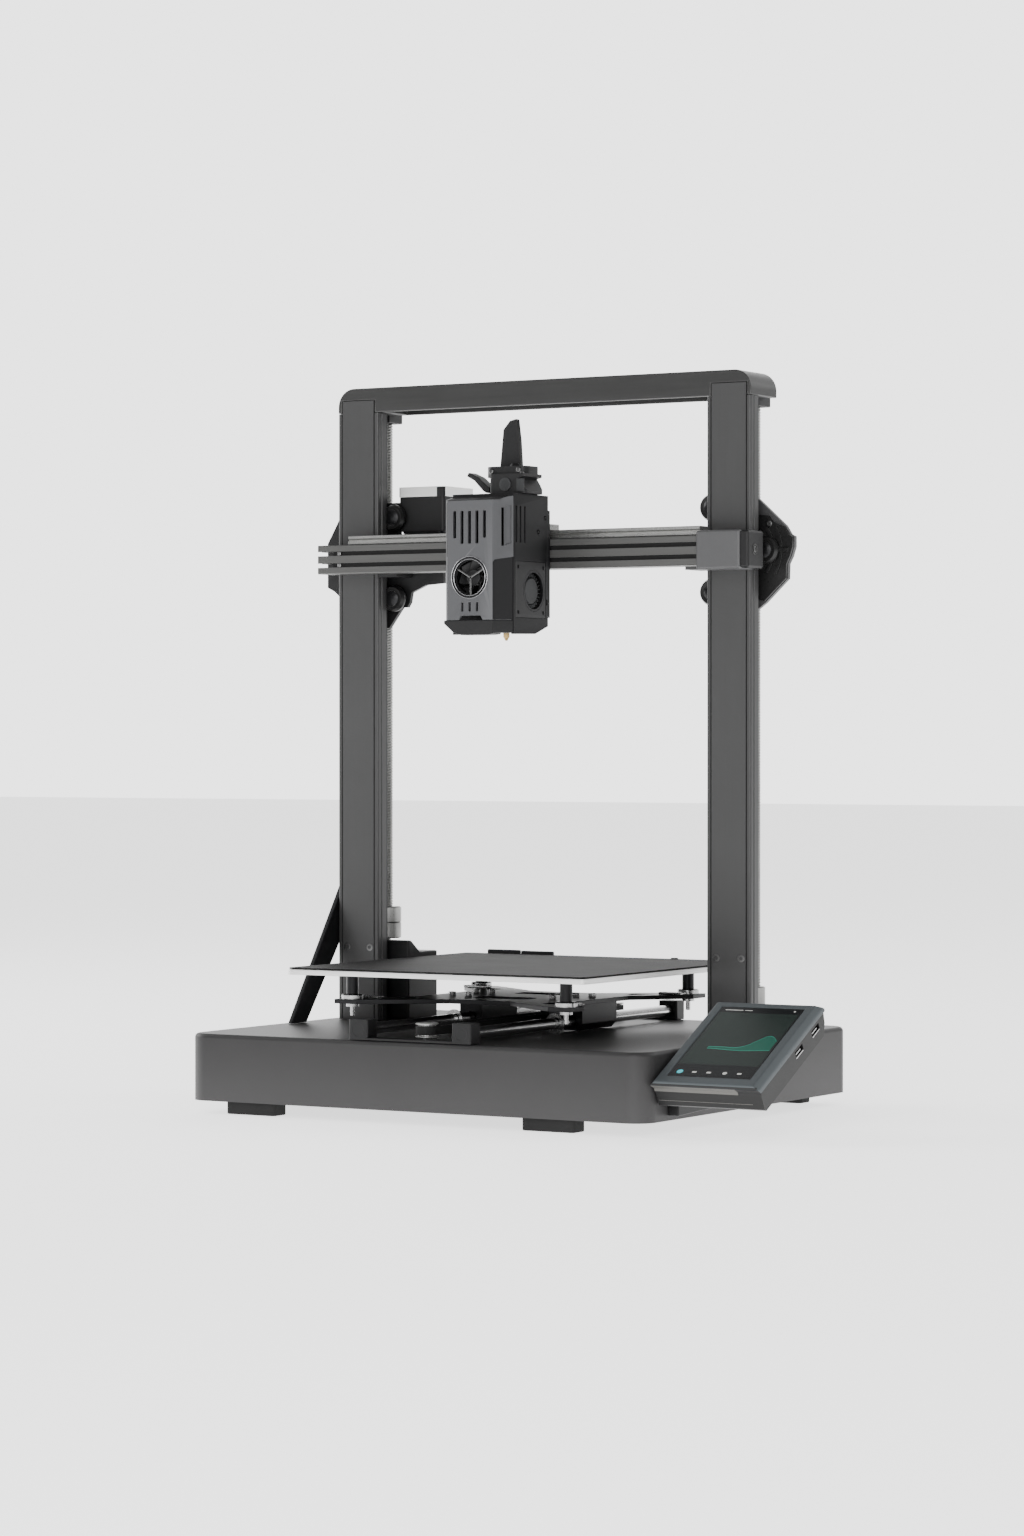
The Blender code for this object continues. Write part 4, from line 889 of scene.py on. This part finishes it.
def build_front_cover():
    low, high = spot("front_cover")
    fan = middle("front_fan")
    front = low.y
    plan = [(low.x, high.y), (low.x, front + 4.0), (low.x + 3.5, front), (13.5, front), (high.x, high.y)]
    shape = bmesh.new()
    prism(shape, plan, "Z", 337.5, high.z + 1.0)
    skin = linked("cover_skin", shape)
    hollow, slope, openings = bmesh.new(), bmesh.new(), bmesh.new()
    prism(hollow, [(low.x + 2.0, high.y + 5.0), (low.x + 2.0, front + 4.8), (low.x + 4.4, front + 2.0),
        (12.4, front + 2.0), (high.x - 2.6, high.y), (high.x - 2.6, high.y + 5.0)], "Z", 330.0, 416.5)
    prism(slope, [(front - 4.0, 419.0), (front, 419.0), (high.y, high.z), (high.y + 4.0, high.z),
        (high.y + 4.0, 430.0), (front - 4.0, 430.0)], "X", low.x - 4, high.x + 4)
    for i in range(5):
        x = -16.7 + i * 5.95
        bottom = 393.3 if i in (0, 4) else 389.5
        prism(openings, rounded((x - 1.2, bottom), (x + 1.2, 412.0), 0.8, 4), "Y", front - 3, front + 5)
    for x in (-10.6, -4.7, 1.2):
        prism(openings, rounded((x - 0.9, 343.2), (x + 0.9, 349.8), 0.6, 4), "Y", front - 3, front + 5)
    notch = [(-13.4, 337.0), (-13.4, 337.6), (-11.7, 340.4), (4.0, 340.4), (5.7, 337.6), (5.7, 337.0)]
    prism(openings, notch, "Y", front - 3, front + 9)
    rod(openings, (fan.x, front, fan.z), 13.2, 12.0, "Y", 64)
    for tool in (hollow, slope, openings):
        carve(skin, tool)
    # The slanted right side has a long slot and a shallow recess with a ledge below it.
    slant = math.atan2(12.0, 9.5)
    frame_of_side = Matrix.Translation((18.2, front + 6.0, 0.0)) @ Matrix.Rotation(slant, 4, "Z")
    for outline, depth in (([(-7.4, 337.0), (9.0, 337.0), (9.0, 380.6), (-5.6, 378.6), (-7.4, 376.8)], 1.0),
            ([(-1.0, 387.8), (1.0, 387.8), (1.0, 413.8), (-1.0, 413.8)], 4.0),
            ([(1.9, 388.3), (6.2, 389.6), (6.2, 415.4), (1.9, 415.0)], 0.8)):
        tool = bmesh.new()
        prism(tool, outline, "Y", -3.0, depth)
        tool.transform(frame_of_side)
        carve(skin, tool)
    finish(skin, COVER_GREY, "head", ("front_cover",), 0.5, 2, 25.0)

    ring = bmesh.new()
    section = [(13.5 + 1.35 * math.cos(a), 1.35 * math.sin(a))
        for a in (2 * math.pi * i / 12 for i in range(12))]
    lathe(ring, (fan.x, front + 1.2, fan.z), section, "Y", 72)
    lathe(ring, (fan.x, front + 2.4, fan.z), [(11.6, -0.5), (12.6, -0.5), (12.6, 0.6), (11.6, 0.6)], "Y", 72)
    piece("fan_ring", ring, BLACK_METAL, "head")
    spokes = bmesh.new()
    for angle in (90.0, 210.0, 330.0):
        spoke = bmesh.new()
        block(spoke, (0.4, -0.8, -0.7), (12.2, 0.8, 0.7), 0.4, 2)
        spoke.transform(Matrix.Translation((fan.x, front + 2.0,
            fan.z)) @ Matrix.Rotation(math.radians(angle), 4, "Y"))
        merge(spokes, spoke)
    piece("fan_spokes", spokes, GREY_STEEL, "head")
    rims = bmesh.new()
    for radius in (12.5, 14.3):
        section = [(radius + 0.22 * math.cos(a), 0.22 * math.sin(a))
            for a in (math.pi * i / 4 for i in range(8))]
        lathe(rims, (fan.x, front - 0.1, fan.z), section, "Y", 72)
    piece("fan_rims", rims, CHROME, "head")
    build_rotor("front_fan", "Y", 7)

    ledge = bmesh.new()
    chin = [(low.x + 0.3, 337.4), (low.x + 0.3, 335.1), (low.x + 8.0, 328.8), (low.x + 14.0, 327.2),
        (9.0, 327.2), (13.3, 327.8), (13.3, 337.4)]
    prism(ledge, chin, "Y", front + 0.3, high.y)
    prism(ledge, [(13.2, front + 0.3), (high.x - 0.2, high.y), (13.2, high.y)], "Z", 328.5, 337.4)
    piece("cover_chin", ledge, BLACK_PLASTIC, "head", width=0.6)

    made("cover_trim", SHELL_PLASTIC, "head", "cover_grey",
        (prism, [(front + 0.9, 419.15), (front + 12.0, 422.0), (front + 12.0, 422.3),
        (front + 0.9, 419.45)], "X", low.x + 2.2, high.x - 4.5),
        (prism, [(low.x - 0.05, front + 4.2), (low.x + 3.3, front + 0.1), (low.x + 3.5, front + 0.4),
        (low.x + 0.2, front + 4.4)], "Z", 381.0, 418.0))
    made("cover_scoop", SHELL_PLASTIC, "head", "cover_grey",
        (prism, [(-7.2, 337.8), (7.2, 337.8), (7.2, 380.2), (-5.4, 378.3), (-7.2, 376.6)], "Y", 0.8, 1.5),
        place=frame_of_side)


def build_rotor(node, axis, blades):
    """Fan rotor: hub with a dished cap and curved blades inside the space of the plain disc."""
    low, high = spot(node)
    centre = (low + high) / 2
    radius = (high.z - low.z) / 2
    thick = (high.y - low.y) if axis == "Y" else (high.x - low.x)
    shape = bmesh.new()
    hub = radius * 0.42
    half = thick / 2
    lathe(shape, (0, 0, 0), [(0.0, -half), (hub, -half), (hub, half - 0.6), (hub - 0.6, half),
        (hub * 0.5, half), (hub * 0.45, half - 0.4), (0.0, half - 0.4)], "Z", 36)
    steps = 6
    for i in range(blades):
        start = 2 * math.pi * i / blades
        rows = []
        for j in range(steps + 1):
            reach = hub * 0.9 + (radius * 0.97 - hub * 0.9) * j / steps
            sweep = start + 0.5 * j / steps
            spread = 0.30
            corners = []
            for turn, height in ((sweep - spread, -half * 0.8), (sweep + spread, half * 0.7),
                    (sweep + spread - 0.04, half * 0.7 + 0.25),
                    (sweep - spread - 0.04, -half * 0.8 + 0.25)):
                corners.append(shape.verts.new((reach * math.cos(turn), reach * math.sin(turn), height)))
            rows.append(corners)
        for row, after in zip(rows, rows[1:]):
            for a in range(4):
                b = (a + 1) % 4
                shape.faces.new((row[a], row[b], after[b], after[a]))
        shape.faces.new(rows[0][::-1])
        shape.faces.new(rows[-1])
    place = Matrix.Translation(centre) @ TURN[axis]
    piece(node + "_rotor", shape, BLACK_PLASTIC, node, (node,), place=place)


def build_side_shell():
    high = spot("side_shell")[1]
    right = high.x
    blower = middle("side_blower")
    tool = bmesh.new()
    for y in (102.1, 107.5, 113.3):
        block(tool, (right - 4, y - 0.9, 390.4), (right + 3, y + 0.9, 415.4))
    block(tool, (right - 0.7, 100.6, 339.0), (right + 3, 141.2, 378.0))
    block(tool, (right - 5, high.y - 2.6, 348.5), (right + 3, high.y + 3, 352.5))
    refine("side_shell", SHELL_PLASTIC, 0.5, 2, tool)
    # The blower's moulded housing stands in the recess, a disc in a ring with four corner holes.
    shape = bmesh.new()
    block(shape, (right - 0.75, 101.0, 339.4), (right - 0.15, 140.8, 377.6))
    housing = linked("blower_frame", shape)
    tool = bmesh.new()
    rod(tool, (right, blower.y, blower.z), 14.2, 6.0, "X", 64)
    for y in (104.6, 138.0):
        for z in (343.0, 374.0):
            rod(tool, (right, y, z), 1.4, 6.0, "X", 20)
    carve(housing, tool)
    finish(housing, BLACK_PLASTIC, "head", width=0.0)
    made("blower_ring", BLACK_METAL, "head", "black_metal",
        (lathe, (right - 0.4, blower.y, blower.z), [(12.6, -0.3), (13.9, -0.3), (13.9, 0.2), (12.6, 0.2)],
        "X", 64))
    build_blower()
    screws("shell_screws", [(right - 0.1, 140.5, 408.4), (right - 0.1, 131.3, 398.7)], 1.9, "X", 1.0,
        "head", 0.1)


def build_blower():
    """Side blower rotor: a shallow drum with a smooth round cap and a ring of short vanes."""
    low, high = spot("side_blower")
    centre = (low + high) / 2
    radius, half = (high.z - low.z) / 2, (high.x - low.x) / 2
    shape = bmesh.new()
    lathe(shape, (0, 0, 0), [(0.0, -half), (radius * 0.98, -half), (radius * 0.98, -half + 1.0),
        (9.0, -half + 1.0), (9.0, half - 0.5), (8.5, half), (0.0, half)], "Z", 56)
    for i in range(26):
        angle = 2 * math.pi * i / 26
        vane = bmesh.new()
        block(vane, (9.6, -0.25, -half + 0.8), (radius * 0.97, 0.25, half - 0.2))
        vane.transform(Matrix.Rotation(angle, 4, "Z"))
        merge(shape, vane)
    piece("side_blower_rotor", shape, GREY_PLASTIC, "side_blower", ("side_blower",),
        place=Matrix.Translation(centre) @ TURN["X"])


def build_extruder():
    refine("extruder_body", BLACK_PLASTIC, 0.6, 2)
    low, high = spot("extruder_body")
    face = low.y + 3.0
    shape = bmesh.new()
    for x, z in ((-3.0, 440.0), (18.8, 440.6), (21.8, 437.8)):
        cap_screw(shape, (x, face, z), 1.7, "Y", -1.0, 0.9)
    piece("extruder_screws", shape, GREY_STEEL, "head")
    made("extruder_boss", GREY_PLASTIC, "head", "black_plastic",
        (lathe, (10.0, low.y, 430.6), [(0.0, 0.0), (4.6, 0.0), (4.6, -0.7), (2.0, -0.9), (0.0, -0.9)], "Y",
        36), (block, (19.0, low.y - 0.6, 425.6), (high.x - 1.0, low.y + 0.4, 434.4), 0.3))
    made("filament_inlet", SHELL_PLASTIC, "head", "black_plastic",
        (lathe, (10.0, 122.0, high.z - 0.1), [(1.2, 0.0), (3.4, 0.0), (3.4, 1.2), (2.6, 2.4), (1.2, 2.4)],
        "Z", 36))
    low, high = spot("extruder_motor")
    centre = (low + high) / 2
    shape = bmesh.new()
    radius, half = (high.x - low.x) / 2, (high.y - low.y) / 2
    lathe(shape, centre, [(0.0, -half), (radius - 0.6, -half), (radius, -half + 0.6), (radius, half - 4.0),
        (radius - 0.7, half - 3.6), (radius - 0.7, half - 0.5), (radius - 1.2, half), (4.0, half),
        (3.6, half - 0.6), (0.0, half - 0.6)], "Y", 56)
    piece("extruder_motor_can", shape, BLACK_METAL, "head", ("extruder_motor",))
    refine("cable_support", BLACK_PLASTIC, 0.8, 3)
    refine("release_lever", BLACK_PLASTIC, 0.5, 2)
    refine("carriage_plate", SHELL_PLASTIC, 0.4, 2)
    refine("rail_block", RAIL_STEEL, 0.5, 2)


def build_hotend():
    low, high = spot("hotend")
    nozzle = Vector((0.0, (low.y + high.y) / 2, low.z))
    shape = bmesh.new()
    for i in range(8):
        z = high.z - 2.0 - i * 3.2
        lathe(shape, (nozzle.x, nozzle.y, z), [(2.4, 0.0), (8.8, 0.0), (8.8, -1.4), (3.4, -1.4),
            (3.4, -3.3), (2.4, -3.3)], "Z", 40)
    rod(shape, (nozzle.x, nozzle.y, high.z - 15.0), 2.4, 40.0, "Z", 20)
    block(shape, (-8.0, nozzle.y - 10.0, 334.0), (8.0, nozzle.y + 10.0, 345.0), 0.6, 2)
    piece("hotend_sink", shape, ALUMINIUM, "head", ("hotend",))
    made("nozzle", COPPER, "head", "aluminium", (rod, (nozzle.x, nozzle.y, 331.9), 3.9, 4.6, "Z", 6, 0.3),
        (lathe, (nozzle.x, nozzle.y, low.z), [(0.35, 0.0), (0.7, 0.0), (1.5, 1.6), (2.2, 2.6), (2.2, 6.0),
        (0.35, 6.0)], "Z", 32))


# ---------------------------------------------------------------- screen

SCREEN_TILT = math.radians(27.8)
SCREEN_SIDE = 3.5
SCREEN_SIZE = (71.8, 103.2)


def screen_place():
    """From the screen's own axes, X along its front edge, Y up its slope and Z out of it."""
    low, high = spot("screen_bezel")
    length = SCREEN_SIZE[1]
    corner = Vector((low.x + SCREEN_SIDE, low.y - math.sin(SCREEN_TILT),
        high.z - (length - 4.0) * math.sin(SCREEN_TILT)))
    return Matrix.Translation(corner) @ Matrix.Rotation(SCREEN_TILT, 4, "X")


def build_screen():
    place = screen_place()
    width, length = SCREEN_SIZE
    refine("screen_bezel", SCREEN_GREY, 0.7, 3)
    side, top, bottom = SCREEN_SIDE - 1.0, -7.3, -21.5
    shape = bmesh.new()
    prism(shape, [(3.0, top), (length, top), (length - 1.5, bottom + 7.0), (length - 7.0, bottom),
        (5.0, bottom), (3.0, bottom + 2.0)], "X", -side, width + side)
    shell = linked("screen_back", shape, place)
    ports = (56.0, 82.0)
    tool = bmesh.new()
    for y in ports:
        block(tool, (width - 2.0, y, -14.6), (width + 10.0, y + 11.5, -9.6))
    tool.transform(place)
    carve(shell, tool)
    finish(shell, SCREEN_DARK, "root", ("screen_shell",), 1.3, 3)
    shape = bmesh.new()
    for y in ports:
        block(shape, (width - 1.9, y + 0.3, -14.5), (width + 2.4, y + 11.2, -13.8))
        block(shape, (width - 1.9, y + 2.0, -12.8), (width + 1.6, y + 9.5, -11.8), 0.2, 1)
    piece("port_contacts", shape, SCREW_STEEL, "root", place=place)
    # The front chamfer band is painted lighter as a highlight up to x = 58, with a thin light line lower
    # down; beyond x = 58 the band is black plastic.
    band = [(-0.12, -3.3), (-0.12, -3.6), (2.8, -7.1), (2.8, -9.3), (3.6, -9.3), (3.6, -7.0), (0.6, -3.3)]
    made("screen_band_painted_highlight", SCREEN_BAND_HIGHLIGHT, "root", "screen_grey",
        (prism, band, "X", -SCREEN_SIDE + 0.6, 58.0), (block, (-side + 1.2, 2.85, -16.2),
        (width - 5.0, 3.4, -15.8)), width=0.15, place=place)
    made("screen_dark_band", BLACK_PLASTIC, "root", "screen_grey",
        (prism, band, "X", 58.2, width + SCREEN_SIDE - 0.6),
        (block, (-SCREEN_SIDE + 1.2, -0.1, -3.1), (width + SCREEN_SIDE - 1.2, 0.8, -1.5), 0.1, 1),
        width=0.15, place=place)
    refine("screen_bracket", BLACK_PLASTIC, 0.8)

    glass_low, glass_high = (5.8, 8.3), (width - 5.8, length - 8.8)
    top = -0.4
    made("display_panel", GLASS, "root", "screen_glass",
        (prism, rounded(glass_low, glass_high, 0.8, 4), "Z", -1.9, top), nodes=("touch_panel",), width=0.15,
        segments=2, place=place)
    build_display(place, glass_low, glass_high, top)


def build_display(place, low, high, top):
    """A made-up menu: a title bar, a wavy temperature band and a row of plain icons."""
    def layer(name, outlines, material, level):
        shape = bmesh.new()
        for outline in outlines:
            prism(shape, outline, "Z", top + level * DEPTH, top + (level + 1) * DEPTH)
        piece(name, shape, material, "root", place=place)

    x0, y0, x1, y1 = low[0] + 1.0, low[1] + 1.0, high[0] - 1.0, high[1] - 1.0
    wide, tall = x1 - x0, y1 - y0
    field_low, field_high = y0 + tall * 0.17, y0 + tall * 0.93
    layer("display_field", [rounded((x0, field_low), (x1, field_high), 0.5, 2)], DISPLAY, 0)
    layer("display_bars", [rounded((x0, y0), (x1, field_low - 0.3), 0.5, 2),
        rounded((x0, field_high + 0.3), (x1, y1), 0.5, 2)], DISPLAY_BAR, 0)
    count = 36
    upper, lower = [], []
    for i in range(count + 1):
        t = i / count
        x = x0 + wide * (0.20 + 0.78 * t)
        swell = math.exp(-((t - 0.85) / 0.22) ** 2)
        ripple = 0.4 * math.sin(t * 9.0)
        upper.append((x, y0 + tall * 0.40 + 2.0 + ripple + 15.0 * swell))
        lower.append((x, y0 + tall * 0.40 - 1.2 * math.sin(t * math.pi) + ripple * 0.5))
    layer("display_wave", [lower + upper[::-1]], TEAL, 1)
    crest = [(x, y + 0.25) for x, y in upper] + [(x, y - 0.25) for x, y in reversed(upper)]
    base = [(x, y + 0.3) for x, y in lower] + [(x, y - 0.3) for x, y in reversed(lower)]
    layer("display_wave_lines", [crest[::-1], base[::-1]], TEAL_LINE, 2)
    row = y0 + tall * 0.055
    layer("display_home", [arc(x0 + wide * 0.10, row, 2.2, 0, 345, 24)], CYAN, 1)
    icons = [rounded((x0 + wide * t - 1.6, row - 0.9), (x0 + wide * t + 1.6, row + 0.9), 0.6, 3)
        for t in (0.28, 0.46)]
    icons += [arc(x0 + wide * 0.66, row, 1.6, 0, 345, 20),
        rounded((x0 + wide * 0.84 - 1.5, row - 0.8), (x0 + wide * 0.84 + 1.5, row + 1.0), 0.4, 3)]
    icons += [arc(x1 - 4.5, y1 - 2.2, 0.8, 0, 345, 14)]
    icons += [rounded((x0 + 3.0, y1 - 3.2), (x0 + 16.0, y1 - 2.4), 0.3, 2),
        rounded((x0 + 17.5, y1 - 3.1), (x0 + 23.0, y1 - 2.5), 0.2, 2)]
    layer("display_icons", icons, ICON, 1)
    marks = [rounded((x0 + wide * t, y1 - 10.0), (x0 + wide * t + w, y1 - 9.3), 0.3, 2) for t,
        w in ((0.30, 5.0), (0.66, 3.0), (0.88, 3.0))]
    layer("display_marks", marks, DISPLAY_BAR, 1)


# ---------------------------------------------------------------- studio

def build_stage():
    floor = bpy.data.meshes.new("floor")
    shape = bmesh.new()
    bmesh.ops.create_grid(shape, x_segments=1, y_segments=1, size=12.0)
    shape.to_mesh(floor)
    shape.free()
    ground = bpy.data.objects.new("floor", floor)
    bpy.context.scene.collection.objects.link(ground)
    ground.location = (0.0, 0.0, cad_low.z - 0.0002)
    pale = bpy.data.materials.new("pale_floor")
    pale.use_nodes = True
    tree = pale.node_tree
    shader = tree.nodes["Principled BSDF"]
    noise = tree.nodes.new("ShaderNodeTexNoise")
    noise.inputs["Scale"].default_value = 3.0
    ramp = tree.nodes.new("ShaderNodeValToRGB")
    ramp.color_ramp.elements[0].color = (0.90, 0.90, 0.90, 1.0)
    ramp.color_ramp.elements[1].color = (0.94, 0.94, 0.94, 1.0)
    tree.links.new(noise.outputs["Fac"], ramp.inputs["Fac"])
    tree.links.new(ramp.outputs["Color"], shader.inputs["Base Color"])
    shader.inputs["Roughness"].default_value = 0.9
    tree.links.new(ramp.outputs["Color"], shader.inputs["Emission Color"])
    shader.inputs["Emission Strength"].default_value = FLOOR_GLOW
    floor.materials.append(pale)

    world = bpy.data.worlds.new("studio")
    bpy.context.scene.world = world
    world.use_nodes = True
    sky = world.node_tree
    backdrop = sky.nodes["Background"]
    backdrop.inputs["Color"].default_value = (1.0, 1.0, 1.0, 1.0)
    place = sky.nodes.new("ShaderNodeTexCoord")
    behind = sky.nodes.new("ShaderNodeVectorMath")
    behind.operation = "DOT_PRODUCT"
    behind.inputs[1].default_value = (-math.sin(VIEW_TURN), math.cos(VIEW_TURN), 0.0)
    fade = sky.nodes.new("ShaderNodeMapRange")
    fade.inputs["From Min"].default_value = 0.6
    fade.inputs["From Max"].default_value = 0.95
    fade.inputs["To Min"].default_value = SURROUND
    fade.inputs["To Max"].default_value = BACKDROP
    sky.links.new(place.outputs["Generated"], behind.inputs[0])
    sky.links.new(behind.outputs["Value"], fade.inputs["Value"])
    sky.links.new(fade.outputs["Result"], backdrop.inputs["Strength"])

    def softbox(name, place, target, size, power):
        data = bpy.data.lights.new(name, "AREA")
        data.shape = "RECTANGLE"
        data.size, data.size_y = size
        data.energy = power
        lamp = bpy.data.objects.new(name, data)
        lamp.location = place
        lamp.rotation_euler = (Vector(target) - Vector(place)).to_track_quat("-Z", "Y").to_euler()
        bpy.context.scene.collection.objects.link(lamp)
    softbox("rim_left", (-2.2, -0.2, 1.0), (0.0, 0.0, 0.25), (1.2, 1.6), 45.0)
    softbox("front", (0.9, -2.6, 1.1), (0.0, 0.0, 0.25), (1.6, 1.4), 40.0)
    softbox("back_right", (1.8, 1.8, 1.6), (0.0, 0.0, 0.25), (1.4, 1.4), 30.0)


def build_camera():
    """A long lens low in front of the machine's right corner."""
    data = bpy.data.cameras.new("camera")
    data.lens = 97.75
    data.sensor_width = 36.0
    data.clip_start = 0.05
    eye = bpy.data.objects.new("camera", data)
    eye.location = ORIGIN + Vector((1484.32, -2338.73, 257.01)) * MM
    eye.rotation_euler = (math.radians(90.0 - 0.4136), 0.0, VIEW_TURN)
    bpy.context.scene.collection.objects.link(eye)
    bpy.context.scene.camera = eye


build_camera()
build_stage()
build_base()
build_inlet()
build_electrics()
build_frame()
build_lift()
build_bed_drive()
build_bed()
build_beam()
build_end_cover()
build_wheels()
build_brackets()
build_motor()
build_front_cover()
build_side_shell()
build_extruder()
build_hotend()
build_screen()
